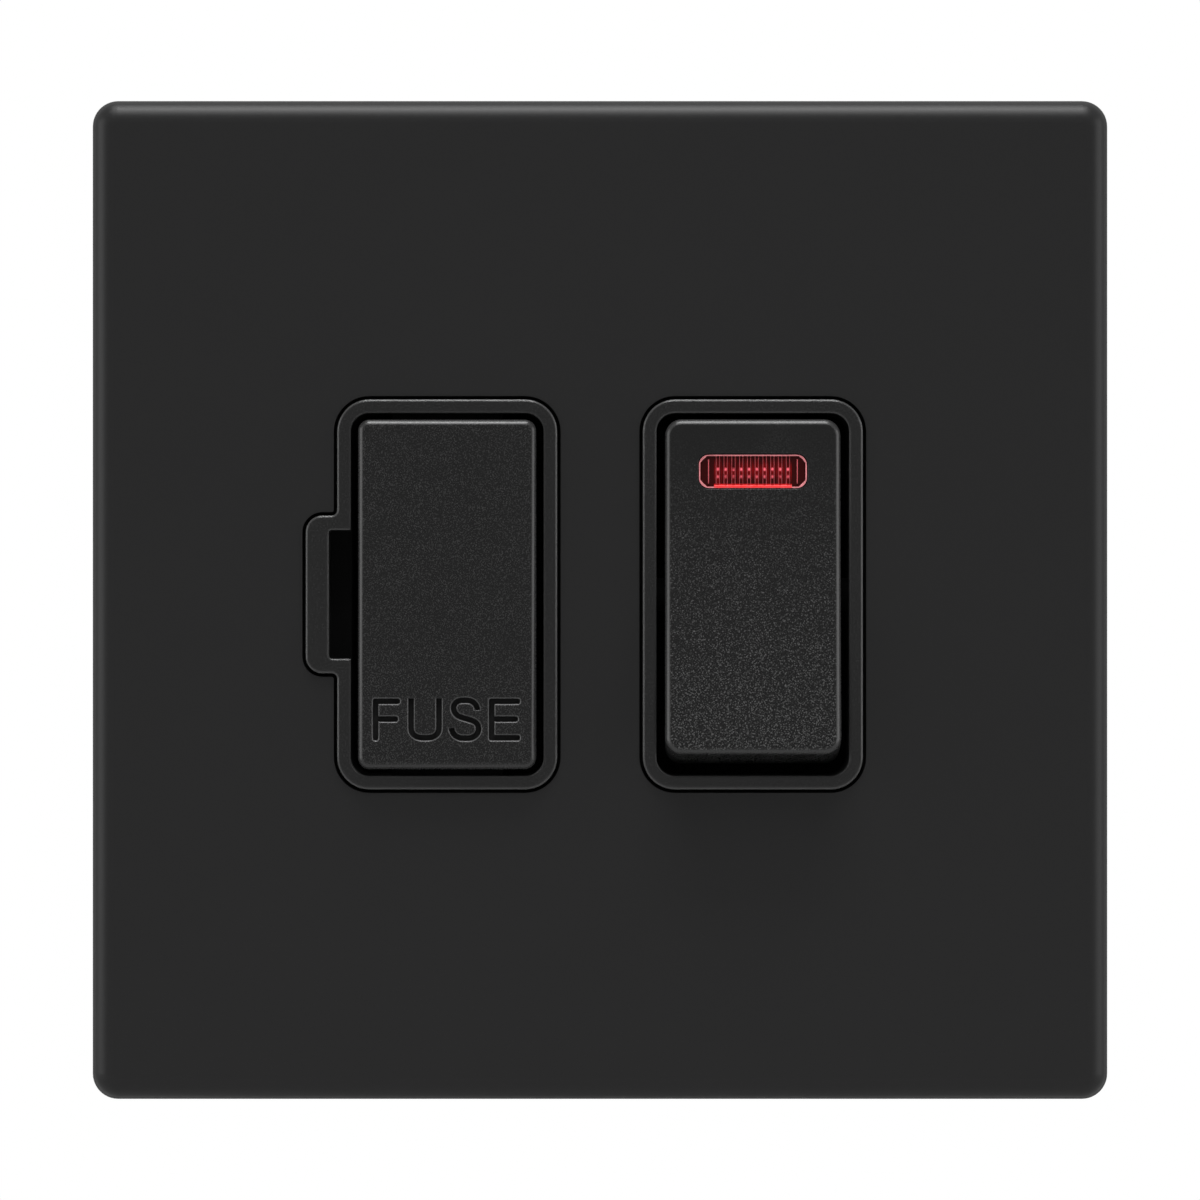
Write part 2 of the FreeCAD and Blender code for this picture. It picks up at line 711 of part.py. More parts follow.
def housing_screws():
    """Four pan-head screws, driven from the back."""
    screws = []
    tip = BOSS_JOINT_DEPTH - BOSS_GRIP + 1
    for x, z in case_screw_places():
        under = case_back - CASE_SCREW_HEAD
        head = rod_y(x, (under, case_back), z, CASE_SCREW_HEAD_RADIUS)
        head = head.makeFillet(CASE_SCREW_HEAD / 3, edges_at(head, case_back))
        shank = rod_y(x, (tip, under), z, CASE_SCREW_RADIUS)
        shank = shank.makeChamfer(CASE_SCREW_RADIUS / 2, edges_at(shank, tip))
        arm = CASE_SCREW_HEAD_RADIUS * 0.6
        groove = DRIVER_SLOT_WIDTH / 3
        top = (case_back - DRIVER_SLOT_DEPTH, case_back)
        cross = [block(about(x, arm), top, about(z, groove)), block(about(x, groove), top, about(z, arm))]
        screws.append(joined(head, shank).cut(cross))
    return Part.makeCompound(screws)


def fuse_carrier():
    """The drawer: a cap, two rails with catches, and jaws that hold the fuse from one side."""
    half_width = well_half_width - CAP_SIDE_GAP
    half_height = well_half_height - CAP_END_GAP
    cap = rounded(
        about(fuse_x, half_width), (cap_face, cap_back), about(MODULE_LIFT, half_height), CAP_CORNER
    )
    cap = cap.makeFillet(CAP_EDGE, edges_at(cap, cap_face))
    inside_back = cap_face + CAP_SKIN
    hollow = block(
        about(fuse_x, half_width - CAP_WALL), (inside_back, cap_back), about(MODULE_LIFT, half_height - CAP_WALL)
    )
    grip = block(
        (fuse_x - half_width, fuse_x - half_width + CAP_WALL),
        (cap_face + CAP_LIP, cap_back),
        about(MODULE_LIFT, PRY_SLOT_HEIGHT / 2 - 0.5),
    )
    cap = cap.cut([hollow, grip])
    outer = rail_outer()
    catch_back = ledge_back() + CARRIER_TRAVEL + CATCH_PLAY + CATCH_LENGTH
    rail = block(
        about(fuse_x, RAIL_WIDTH / 2),
        (inside_back - CAP_SKIN / 3, catch_back),
        up(outer - RAIL_THICKNESS, outer),
    )
    foot = block(
        about(fuse_x, RAIL_WIDTH / 2), (inside_back, cap_back), up(outer - RAIL_THICKNESS, outer + CAP_WALL / 2)
    )
    slope = [
        (catch_back - CATCH_LENGTH, outer - RAIL_THICKNESS / 2),
        (catch_back - CATCH_LENGTH, outer + CATCH_BITE),
        (catch_back - CATCH_LENGTH / 2, outer + CATCH_BITE),
        (catch_back, outer - RAIL_THICKNESS / 2),
    ]
    points = [Vector(fuse_x - RAIL_WIDTH / 2, y, MODULE_LIFT + z) for y, z in slope]
    catch = Part.Face(Part.makePolygon(points + points[:1])).extrude(Vector(RAIL_WIDTH, 0, 0))
    inner = fuse_body_radius + 0.05
    jaw_z = up(-jaw_length / 2, jaw_length / 2)
    jaw = rod_z(fuse_x, fuse_y, jaw_z, inner + JAW_THICKNESS)
    half_mouth = math.radians(JAW_MOUTH_ANGLE / 2)
    far = 2 * (inner + JAW_THICKNESS)
    mouth_points = [
        Vector(fuse_x, fuse_y, jaw_z[0]),
        Vector(fuse_x - far * math.cos(half_mouth), fuse_y - far * math.sin(half_mouth), jaw_z[0]),
        Vector(fuse_x - 2 * far, fuse_y, jaw_z[0]),
        Vector(fuse_x - far * math.cos(half_mouth), fuse_y + far * math.sin(half_mouth), jaw_z[0]),
    ]
    mouth = Part.Face(Part.makePolygon(mouth_points + mouth_points[:1])).extrude(Vector(0, 0, jaw_length))
    spine = block(
        (fuse_x + inner, fuse_x + inner + JAW_THICKNESS),
        (inside_back - CAP_SKIN / 3, fuse_y + JAW_THICKNESS),
        jaw_z,
    )
    bore = rod_z(fuse_x, fuse_y, jaw_z, inner)
    grip_jaw = joined(jaw, spine).cut([bore, mouth])
    return joined(cap, rail, foot, catch, mirrored_z(rail), mirrored_z(foot), mirrored_z(catch), grip_jaw)


def fuse_body():
    """Ceramic tube of the fuse, sealed at both ends by the caps."""
    half = FUSE_LENGTH / 2 - FUSE_CAP_WALL
    return rod_z(fuse_x, fuse_y, up(-half, half), fuse_body_radius)


def fuse_end_caps():
    """The two plated caps of the fuse."""
    top = rod_z(fuse_x, fuse_y, up(FUSE_LENGTH / 2 - FUSE_CAP_LENGTH, FUSE_LENGTH / 2), FUSE_RADIUS)
    rim = [e for e in top.Edges if abs(e.CenterOfMass.z - MODULE_LIFT - FUSE_LENGTH / 2) < 1e-5]
    top = top.makeFillet(FUSE_CAP_WALL / 2, rim)
    top = top.cut(fuse_body())
    return Part.makeCompound([top, mirrored_z(top)])


def clip_tail_limits():
    """Height of the upper clip's tail, which leaves the clip at its inner end."""
    low = MODULE_LIFT + FUSE_LENGTH / 2 - FUSE_CAP_LENGTH / 2 - CLIP_LENGTH / 2
    return (low, low + CLIP_SHEET)


def fuse_clip():
    """The upper spring clip: two jaws with flared mouths, a base, a tail and a riveted foot."""
    low = clip_tail_limits()[0]
    high = low + CLIP_LENGTH
    inner = FUSE_RADIUS + CLIP_PLAY
    outer = inner + CLIP_SHEET
    base_face = fuse_y + inner
    mouth = fuse_y - FUSE_RADIUS + CLIP_MOUTH
    profile = [
        (outer, base_face + CLIP_SHEET),
        (outer, mouth),
        (outer + CLIP_MOUTH / 2, mouth - CLIP_MOUTH),
        (outer + CLIP_MOUTH / 2 - CLIP_SHEET, mouth - CLIP_MOUTH),
        (inner, mouth),
        (inner, base_face),
    ]
    right = [Vector(fuse_x + x, y, low) for x, y in profile]
    left = [Vector(fuse_x - x, y, low) for x, y in reversed(profile)]
    points = right + left
    spring = Part.Face(Part.makePolygon(points + points[:1])).extrude(Vector(0, 0, high - low))
    tail_back = strip_face
    tail = block(about(fuse_x, CLIP_TAIL_WIDTH / 2), (base_face, tail_back), (low, low + CLIP_SHEET))
    foot = block(about(fuse_x, CLIP_TAIL_WIDTH / 2), (tail_back - CLIP_SHEET, tail_back), (low, high))
    return joined(spring, tail, foot)


def face_band(near, far, half_width):
    """Part of the rocker behind its hollow face, between two depths."""
    def arc(depth):
        radius = face_radius + depth
        z = face_half_height + ROCKER_WALL
        y = face_centre_y + math.sqrt(radius**2 - z**2)
        ends = Vector(-half_width, y, -z), Vector(-half_width, y, z)
        return Part.Arc(ends[0], Vector(-half_width, face_centre_y + radius, 0), ends[1]).toShape()

    front, back = arc(near), arc(far)
    low = Part.LineSegment(front.Vertexes[0].Point, back.Vertexes[0].Point).toShape()
    high = Part.LineSegment(front.Vertexes[1].Point, back.Vertexes[1].Point).toShape()
    return Part.Face(Part.Wire([front, high, back, low])).extrude(Vector(2 * half_width, 0, 0))


def side_profile(edge_y, edge_z, reach, base_y, base_z, hub_y, hub_z, start_x, width):
    """The rocker's side view, mirrored about its middle, drawn across X."""
    top = [(edge_y, edge_z), (base_y, base_z), (base_y, hub_z + HUB_SPREAD), (hub_y, hub_z)]
    bottom = [(y, -z) for y, z in reversed(top)]
    points = [Vector(start_x, y, z) for y, z in top + bottom]
    edges = [Part.LineSegment(a, b).toShape() for a, b in zip(points, points[1:])]
    edges.append(Part.Arc(points[-1], Vector(start_x, -reach, 0), points[0]).toShape())
    return Part.Face(Part.Wire(edges)).extrude(Vector(width, 0, 0))


def rocker():
    """The hollow rocker in its own frame: concave face, drafted ends, sleeves and trunnions."""
    width = 2 * rocker_half_width
    skirt_y = face_edge_y + ROCKER_SKIRT
    base_z = face_half_height + ROCKER_SKIRT * math.tan(math.radians(ROCKER_DRAFT))
    body = side_profile(
        face_edge_y, face_half_height, ROCKER_FACE_REACH, skirt_y, base_z,
        HUB_REACH, HUB_HALF_HEIGHT, -rocker_half_width, width,
    )
    corners = [
        edge for edge in body.Edges
        if abs(abs(edge.CenterOfMass.x) - rocker_half_width) < 1e-5
        and abs(edge.CenterOfMass.z) > face_half_height
        and all(abs(v.Z) > face_half_height - 1e-5 for v in edge.Vertexes)
    ]
    body = body.makeFillet(ROCKER_CORNER, corners)
    face = [f for f in body.Faces if abs(getattr(f.Surface, "Radius", 0) - face_radius) < 1e-5][0]
    body = body.makeFillet(ROCKER_EDGE, face.Edges)
    inner_radius = face_radius + ROCKER_WALL
    inner_z = face_half_height - ROCKER_WALL
    inner_y = face_centre_y + math.sqrt(inner_radius**2 - inner_z**2)
    inner_half = rocker_half_width - ROCKER_WALL
    back = HUB_REACH + ROCKER_WALL
    points = [
        Vector(-inner_half, inner_y, inner_z),
        Vector(-inner_half, back, inner_z),
        Vector(-inner_half, back, -inner_z),
        Vector(-inner_half, inner_y, -inner_z),
    ]
    edges = [Part.LineSegment(a, b).toShape() for a, b in zip(points, points[1:])]
    edges.append(Part.Arc(points[-1], Vector(-inner_half, face_centre_y + inner_radius, 0), points[0]).toShape())
    hollow = Part.Face(Part.Wire(edges)).extrude(Vector(2 * inner_half, 0, 0))
    aperture = rounded(
        about(0, lens_width / 2 + LENS_FIT),
        (face_edge_y - 1, face_edge_y + 2 * ROCKER_WALL + 1),
        about(lens_z, LENS_HEIGHT / 2 + LENS_FIT),
        LENS_CORNER + LENS_FIT,
    )
    body = body.cut([hollow, aperture])
    seat = -ROCKER_FACE_REACH + ROCKER_WALL / 2
    poles = (-pole_spacing / 2, pole_spacing / 2)
    sleeves = [rod_y(x, (seat, SLEEVE_REACH), 0, SLEEVE_RADIUS) for x in poles]
    web = block((-pole_spacing / 2, pole_spacing / 2), (seat, HUB_REACH), about(0, BARRIER / 2))
    reach = BEZEL_WIDTH / 2 - TRUNNION_END_GAP
    trunnions = rod_x((-reach, reach), 0, 0, TRUNNION_RADIUS)
    trunnions = trunnions.cut(block(about(0, inner_half), about(0, TRUNNION_RADIUS + 1), about(0, TRUNNION_RADIUS + 1)))
    body = joined(body, *sleeves, web, trunnions)
    bores = [rod_y(x, (spring_seat_y, SLEEVE_REACH), 0, PLUNGER_RADIUS + PLUNGER_PLAY) for x in poles]
    lead_holes = [
        rod_z(x, lead_entry_y(), (0, SLEEVE_RADIUS + 0.5), LEAD_RADIUS + PLUNGER_PLAY) for x in poles
    ]
    return body.cut([*bores, *lead_holes])


def lens():
    """The red indicator lens, in the rocker's frame: flush front, hidden flange, upright ribs."""
    middle = lens_z
    deep = (face_edge_y - 1, 0)
    front = rounded(about(0, lens_width / 2), deep, about(middle, LENS_HEIGHT / 2), LENS_CORNER)
    half_width = rocker_half_width
    front = front.common(face_band(LENS_RECESS, ROCKER_WALL, half_width))
    flange = rounded(
        about(0, lens_width / 2 + LENS_FLANGE), deep, about(middle, LENS_HEIGHT / 2 + LENS_FLANGE), LENS_CORNER
    )
    flange = flange.common(face_band(ROCKER_WALL, ROCKER_WALL + LENS_FLANGE_THICKNESS, half_width))
    back = lens_back_y()
    row = LENS_RIB_COUNT * lens_rib_pitch
    ribs = []
    for index in range(LENS_RIB_COUNT):
        left = -row / 2 + index * lens_rib_pitch
        points = [
            Vector(left, back - LENS_RIB_HEIGHT, middle - LENS_HEIGHT / 2),
            Vector(left, back, middle - LENS_HEIGHT / 2),
            Vector(left + lens_rib_pitch / 2, back + LENS_RIB_HEIGHT, middle - LENS_HEIGHT / 2),
            Vector(left + lens_rib_pitch, back, middle - LENS_HEIGHT / 2),
            Vector(left + lens_rib_pitch, back - LENS_RIB_HEIGHT, middle - LENS_HEIGHT / 2),
        ]
        ribs.append(Part.Face(Part.makePolygon(points + points[:1])).extrude(Vector(0, 0, LENS_HEIGHT)))
    return joined(front, flange, *ribs)


def lens_back_y():
    """Back of the lens flange at the lower edge of the lens, where the ribs begin."""
    radius = face_radius + ROCKER_WALL + LENS_FLANGE_THICKNESS
    low = lens_z - LENS_HEIGHT / 2
    return face_centre_y + math.sqrt(radius**2 - low**2)


def lamp_y():
    """Depth of the lamp's axis in the rocker's frame."""
    return lens_back_y() + LENS_RIB_HEIGHT + LAMP_GAP + LAMP_RADIUS


def lead_entry_y():
    """Depth at which each lead enters its spring's sleeve, beside the spring's end turn."""
    return spring_seat_y + SPRING_WIRE / 2


def neon_lamp():
    """Glass envelope: a tube with a domed end and a closed end that the leads pass through."""
    z, y = lens_z, lamp_y()
    left, right = lamp_left, lamp_right
    glass = joined(
        rod_x((left + LAMP_RADIUS, right), y, z, LAMP_RADIUS),
        Part.makeSphere(LAMP_RADIUS, Vector(left + LAMP_RADIUS, y, z)),
    )
    inner = LAMP_RADIUS - LAMP_GLASS
    gas = joined(
        rod_x((left + LAMP_RADIUS, right - LAMP_PINCH), y, z, inner),
        Part.makeSphere(inner, Vector(left + LAMP_RADIUS, y, z)),
    )
    holes = [
        rod_x((right - LAMP_PINCH, right), y + side * LEAD_SPREAD / 2, z, LEAD_RADIUS) for side in (-1, 1)
    ]
    return glass.cut([gas, *holes])


def neon_leads():
    """Three wires: electrode to spring, electrode to resistor, and resistor to spring."""
    z, y = lens_z, lamp_y()
    start = lamp_left + ELECTRODE_TIP_GAP
    end = lamp_right
    front, rear = y - LEAD_SPREAD / 2, y + LEAD_SPREAD / 2
    sleeve_top = PLUNGER_RADIUS + PLUNGER_PLAY
    turn = 2 * LEAD_BEND
    pole = pole_spacing / 2
    resistor_z = z - RESISTOR_DROP
    half = RESISTOR_LENGTH / 2
    entry = lead_entry_y()
    to_spring = bent_wire([
        Vector(start, front, z),
        Vector(end + turn, front, z),
        Vector(end + turn, front, z - turn),
        Vector(end + turn, entry, z - turn),
        Vector(end + turn, entry, SLEEVE_RADIUS + turn),
        Vector(pole, entry, SLEEVE_RADIUS + turn),
        Vector(pole, entry, sleeve_top),
    ], LEAD_BEND / 2, LEAD_RADIUS)
    to_resistor = bent_wire([
        Vector(start, rear, z),
        Vector(end + LEAD_BEND, rear, z),
        Vector(end + LEAD_BEND, rear, resistor_z),
        Vector(half, rear, resistor_z),
    ], LEAD_BEND / 2, LEAD_RADIUS)
    from_resistor = bent_wire([
        Vector(-half, rear, resistor_z),
        Vector(-pole, rear, resistor_z),
        Vector(-pole, rear, SLEEVE_RADIUS + turn),
        Vector(-pole, entry, SLEEVE_RADIUS + turn),
        Vector(-pole, entry, sleeve_top),
    ], LEAD_BEND / 2, LEAD_RADIUS)
    return Part.makeCompound([to_spring, to_resistor, from_resistor])


def neon_resistor():
    """Small resistor that lies between the lamp and the left sleeve."""
    half = RESISTOR_LENGTH / 2
    z = lens_z - RESISTOR_DROP
    body = rod_x((-half, half), lamp_y() + LEAD_SPREAD / 2, z, RESISTOR_RADIUS)
    rims = [e for e in body.Edges if abs(abs(e.CenterOfMass.x) - half) < 1e-5]
    return body.makeFillet(RESISTOR_RADIUS / 2, rims)


def plunger(x):
    """Brass plunger of one pole, with a round tip that rides on the moving contact."""
    top, tip = plunger_top_y, plunger_tip_y
    neck = SLEEVE_REACH + 1
    shank = rod_y(x, (top, neck), 0, PLUNGER_RADIUS)
    nose = rod_y(x, (neck, tip - PLUNGER_TIP_RADIUS), 0, PLUNGER_TIP_RADIUS)
    ball = Part.makeSphere(PLUNGER_TIP_RADIUS, Vector(x, tip - PLUNGER_TIP_RADIUS, 0))
    return joined(shank, nose, ball)


def plunger_spring(x):
    """Compression spring of one pole, between the sleeve's seat and the plunger."""
    coil_radius = PLUNGER_RADIUS - SPRING_WIRE / 2 - PLUNGER_PLAY
    free = SPRING_LENGTH - SPRING_WIRE
    path = Part.makeHelix(free / SPRING_TURNS, free, coil_radius)
    sides = 6
    across = SPRING_WIRE / 2
    points = [
        Vector(
            coil_radius + across * math.cos(2 * math.pi * k / sides),
            0,
            across * math.sin(2 * math.pi * k / sides),
        )
        for k in range(sides)
    ]
    section = Part.makePolygon(points + points[:1])
    coil = Part.Wire(path.Edges).makePipeShell([section], True, True)
    turned = Placement(Vector(x, spring_seat_y + SPRING_WIRE / 2, 0), Rotation(Vector(1, 0, 0), -90))
    return coil.transformGeometry(turned.toMatrix())


def moving_contact():
    """See-saw strip in its own frame: the knife edge that carries it is the zero line."""
    strip = rounded(
        about(0, CONTACT_WIDTH / 2),
        (contact_front, contact_back),
        (-CONTACT_TAIL, CONTACT_ARM + CONTACT_OVERHANG),
        CONTACT_WIDTH / 5,
    )
    groove = rod_x(about(0, CONTACT_WIDTH / 2), 0, 0, KNIFE_RADIUS + KNIFE_PLAY)
    shank = rod_y(0, (contact_front, contact_back), CONTACT_ARM, TIP_SHANK_RADIUS)
    ears = [
        block(
            (side * CONTACT_WIDTH / 2 - (EAR_SHEET if side > 0 else 0),
             side * CONTACT_WIDTH / 2 + (0 if side > 0 else EAR_SHEET)),
            (contact_back - CONTACT_SHEET / 2, contact_back + EAR_DEPTH),
            about(0, EAR_LENGTH / 2),
        )
        for side in (-1, 1)
    ]
    return joined(strip.cut([groove, shank]), *ears)


def moving_tip():
    """Silver rivet at the end of the see-saw, with a domed face."""
    centre = Vector(0, dome_centre, CONTACT_ARM)
    ball = Part.makeSphere(dome_radius, centre)
    head = rod_y(0, (contact_back, contact_back + TIP_RIM + TIP_DOME), CONTACT_ARM, TIP_RADIUS).common(ball)
    shank = rod_y(0, (contact_front, contact_back), CONTACT_ARM, TIP_SHANK_RADIUS)
    return joined(head, shank)


def fixed_tips():
    """The two silver rivets on the supply strips."""
    z = MODULE_LIFT + closed_drop
    tips = [
        joined(
            rod_y(x, (fixed_tip_face, strip_face), z, TIP_RADIUS),
            rod_y(x, (strip_face, strip_back), z, TIP_SHANK_RADIUS),
        )
        for x in (live_x, neutral_x)
    ]
    return Part.makeCompound(tips)


def strip_run(points, width=STRIP_WIDTH):
    """A flat strip on the floor of the case, along straight runs given in the front view."""
    runs = []
    half = width / 2
    for (x0, z0), (x1, z1) in zip(points, points[1:]):
        runs.append(block(
            (min(x0, x1) - half, max(x0, x1) + half),
            (strip_face, strip_back),
            (min(z0, z1) - half, max(z0, z1) + half),
        ))
    return joined(*runs) if len(runs) > 1 else runs[0]


def terminal_pad(x, row):
    """The end of a strip that lies under a terminal, with a hole for its screw."""
    low, high = sorted((row * terminal_start, row * terminal_end))
    pad = rounded(
        about(x, TERMINAL_WIDTH / 2), (strip_face, strip_back), up(low, high), TERMINAL_BEVEL
    )
    return pad


def pad_hole(x, row):
    return rod_y(x, (strip_face, strip_back), MODULE_LIFT + row * screw_z(), TERMINAL_SCREW_RADIUS + 0.3)


def screw_z():
    """Distance of the terminal screws from the module's middle line."""
    return (terminal_start + terminal_end) / 2


def supply_strip(pad_x, contact_x, run_z):
    """From a supply terminal to the fixed contact of one pole."""
    tip_z = MODULE_LIFT + closed_drop
    points = [(pad_x, MODULE_LIFT + terminal_start), (pad_x, run_z), (contact_x, run_z), (contact_x, tip_z)]
    strip = joined(terminal_pad(pad_x, 1), strip_run(points))
    shank = rod_y(contact_x, (strip_face, strip_back), tip_z, TIP_SHANK_RADIUS)
    return strip.cut([pad_hole(pad_x, 1), shank])


def knife(x):
    """The upright blade that a moving contact rocks on."""
    across = about(x, KNIFE_WIDTH / 2)
    blade = block(across, (knife_y, strip_face), about(MODULE_LIFT, KNIFE_RADIUS))
    return joined(blade, rod_x(across, knife_y, MODULE_LIFT, KNIFE_RADIUS))


def live_pivot_strip():
    """From the live pole's blade to the upper fuse clip."""
    clip_z = clip_tail_limits()[0] + CLIP_LENGTH / 2
    points = [(live_x, MODULE_LIFT), (fuse_x, MODULE_LIFT), (fuse_x, clip_z)]
    return joined(strip_run(points), knife(live_x))


def neutral_pivot_strip():
    """From the neutral pole's blade down to the neutral load terminal."""
    points = [(neutral_x, MODULE_LIFT), (neutral_x, MODULE_LIFT - terminal_start)]
    strip = joined(strip_run(points), knife(neutral_x), terminal_pad(terminal_spacing, -1))
    return strip.cut(pad_hole(terminal_spacing, -1))


def load_live_strip():
    """From the lower fuse clip down to the live load terminal."""
    clip_z = 2 * MODULE_LIFT - clip_tail_limits()[0] - CLIP_LENGTH / 2
    points = [(fuse_x, clip_z), (fuse_x, MODULE_LIFT - terminal_start)]
    strip = joined(strip_run(points), terminal_pad(-terminal_spacing, -1))
    return strip.cut(pad_hole(-terminal_spacing, -1))


def terminal_places():
    """Front-view places of the six terminal screws."""
    return [
        (x, MODULE_LIFT + row * screw_z())
        for row in (1, -1)
        for x in (-terminal_spacing, 0, terminal_spacing)
    ]


def terminal_block(x, row):
    """Brass block with a wire bore along Z and a threaded hole from the back."""
    low, high = sorted((row * terminal_start, row * terminal_end))
    brass = block(about(x, TERMINAL_WIDTH / 2), (terminal_face, strip_face), up(low, high))
    ends = [
        edge for edge in brass.Edges
        if abs(edge.Vertexes[0].Z - edge.Vertexes[1].Z) > TERMINAL_BEVEL
    ]
    brass = brass.makeChamfer(TERMINAL_BEVEL, ends)
    bore = rod_z(x, terminal_middle, up(low, high), WIRE_BORE_RADIUS)
    thread = rod_y(x, (terminal_middle, strip_face), MODULE_LIFT + row * screw_z(), TERMINAL_SCREW_RADIUS)
    return brass.cut([bore, thread])


def terminal_screw(x, z):
    """Slotted screw of a terminal, backed off so that a wire can enter."""
    tip = terminal_middle + WIRE_BORE_RADIUS + TERMINAL_SCREW_BACK_OFF
    under = strip_back + TERMINAL_HEAD_GAP
    top = under + TERMINAL_HEAD
    head = rod_y(x, (under, top), z, TERMINAL_HEAD_RADIUS)
    head = head.makeChamfer(TERMINAL_HEAD / 5, edges_at(head, top))
    shank = rod_y(x, (tip, under), z, TERMINAL_SCREW_RADIUS - TERMINAL_SCREW_PLAY)
    slot = block(
        about(x, TERMINAL_HEAD_RADIUS), (top - DRIVER_SLOT_DEPTH, top), about(z, DRIVER_SLOT_WIDTH / 2)
    )
    return joined(head, shank).cut(slot)


def earth_strap():
    """Bent strip that joins both earth terminals to the frame's tongue."""
    back = terminal_face
    face = back - FRAME_SHEET
    bend_z = MODULE_LIFT + terminal_end - FRAME_SHEET
    across = about(0, STRAP_WIDTH / 2)
    run = block(across, (face, back), (MODULE_LIFT - terminal_end, bend_z))
    leg = block(across, (0, back), (bend_z, bend_z + FRAME_SHEET))
    foot_low = MODULE_LIFT + window_half_height - TONGUE_LENGTH
    foot = block(across, (0, FRAME_SHEET), (foot_low, bend_z))
    strap = joined(run, leg, foot)
    return strap.cut(rod_y(0, (0, FRAME_SHEET), rivet_z(), RIVET_RADIUS))


def earth_rivet():
    """Rivet through the frame's tongue and the foot of the strap."""
    z = rivet_z()
    heads = [
        rod_y(0, (frame_face - RIVET_HEAD, frame_face), z, RIVET_HEAD_RADIUS),
        rod_y(0, (FRAME_SHEET, FRAME_SHEET + RIVET_HEAD), z, RIVET_HEAD_RADIUS),
    ]
    return joined(rod_y(0, (frame_face, FRAME_SHEET), z, RIVET_RADIUS), *heads)


def set_in(shape, x, y, degrees):
    """A piece drawn about its own pivot, turned to its rest angle and put at its place."""
    placed = shape.copy()
    placed.Placement = Placement(Vector(x, y, MODULE_LIFT), Rotation(Vector(1, 0, 0), degrees)).multiply(
        placed.Placement
    )
    return placed


def in_rocker(shape):
    return set_in(shape, rocker_x, pivot_y, -ROCKER_TILT)


def on_knife(shape, x):
    return set_in(shape, x, knife_y, CONTACT_SWING)


def pieces():
    """Every piece of the unit by name, at rest."""
    upper_clip = fuse_clip()
    run_z = MODULE_LIFT + terminal_start - STRIP_TURN
    made = {
        "front_plate": front_plate(),
        "mounting_frame": mounting_frame(),
        "front_housing": front_housing(),
        "rear_housing": rear_housing(),
        "housing_screws": housing_screws(),
        "fuse_carrier": fuse_carrier(),
        "fuse_body": fuse_body(),
        "fuse_end_caps": fuse_end_caps(),
        "fuse_clip_upper": upper_clip,
        "fuse_clip_lower": mirrored_z(upper_clip),
        "rocker": in_rocker(rocker()),
        "rocker_lens": in_rocker(lens()),
        "neon_lamp": in_rocker(neon_lamp()),
        "neon_leads": in_rocker(neon_leads()),
        "neon_resistor": in_rocker(neon_resistor()),
        "fixed_contact_tips": fixed_tips(),
        "supply_strip_live": supply_strip(-terminal_spacing, live_x, run_z),
        "supply_strip_neutral": supply_strip(terminal_spacing, neutral_x, run_z),
        "pivot_strip_live": live_pivot_strip(),
        "pivot_strip_neutral": neutral_pivot_strip(),
        "load_strip_live": load_live_strip(),
        "earth_strap": earth_strap(),
        "earth_rivet": earth_rivet(),
    }
    for pole, x in (("live", live_x), ("neutral", neutral_x)):
        offset = x - rocker_x
        made[f"plunger_{pole}"] = in_rocker(plunger(offset))
        made[f"plunger_spring_{pole}"] = in_rocker(plunger_spring(offset))
        made[f"moving_contact_{pole}"] = on_knife(moving_contact(), x)
        made[f"moving_tip_{pole}"] = on_knife(moving_tip(), x)
    sides = (("live", -terminal_spacing), ("earth", 0), ("neutral", terminal_spacing))
    for row, use in ((1, "supply"), (-1, "load")):
        for wire, x in sides:
            made[f"terminal_{use}_{wire}"] = terminal_block(x, row)
            made[f"terminal_screw_{use}_{wire}"] = terminal_screw(x, MODULE_LIFT + row * screw_z())
    return made


def main():
    os.makedirs("parts", exist_ok=True)
    for name, shape in pieces().items():
        shape.exportStep(f"parts/{name}.step")
        solids = shape.Solids
        print(f"{name}: {len(solids)} solids, {sum(s.Volume for s in solids):.2f} mm3, valid {shape.isValid()}")


main()
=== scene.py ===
"""Looks of a wall-mounted switched fused spur unit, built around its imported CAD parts.

Everything is in metres in the frame of the CAD model: X to the right and Z up as the unit is
seen on the wall, and Y into the wall, so the front looks along -Y.
"""

import json
import logging
import math
from dataclasses import dataclass, field
from enum import Enum
from typing import Any, Callable, Dict, List, Optional, Sequence, Tuple, Union

import bmesh
import bpy
from mathutils import Matrix, Vector

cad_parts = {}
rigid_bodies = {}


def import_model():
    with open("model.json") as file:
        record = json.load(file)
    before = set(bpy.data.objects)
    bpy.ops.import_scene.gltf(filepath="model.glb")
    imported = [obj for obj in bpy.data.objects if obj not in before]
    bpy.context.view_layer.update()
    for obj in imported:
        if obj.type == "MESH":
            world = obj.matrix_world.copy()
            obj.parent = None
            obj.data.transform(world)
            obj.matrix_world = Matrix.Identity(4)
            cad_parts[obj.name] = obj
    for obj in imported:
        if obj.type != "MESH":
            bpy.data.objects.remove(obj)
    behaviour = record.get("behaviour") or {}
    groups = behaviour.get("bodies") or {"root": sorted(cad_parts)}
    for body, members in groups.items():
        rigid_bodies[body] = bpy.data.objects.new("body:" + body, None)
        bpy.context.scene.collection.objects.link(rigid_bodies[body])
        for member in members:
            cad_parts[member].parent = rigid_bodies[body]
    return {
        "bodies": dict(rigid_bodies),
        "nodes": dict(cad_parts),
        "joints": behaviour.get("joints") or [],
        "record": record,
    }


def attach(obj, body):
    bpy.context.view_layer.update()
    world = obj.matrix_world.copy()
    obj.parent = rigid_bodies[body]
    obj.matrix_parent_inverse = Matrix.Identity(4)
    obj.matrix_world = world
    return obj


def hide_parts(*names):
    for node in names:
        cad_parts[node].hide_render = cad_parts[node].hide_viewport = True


LOG = logging.getLogger("spur_unit")

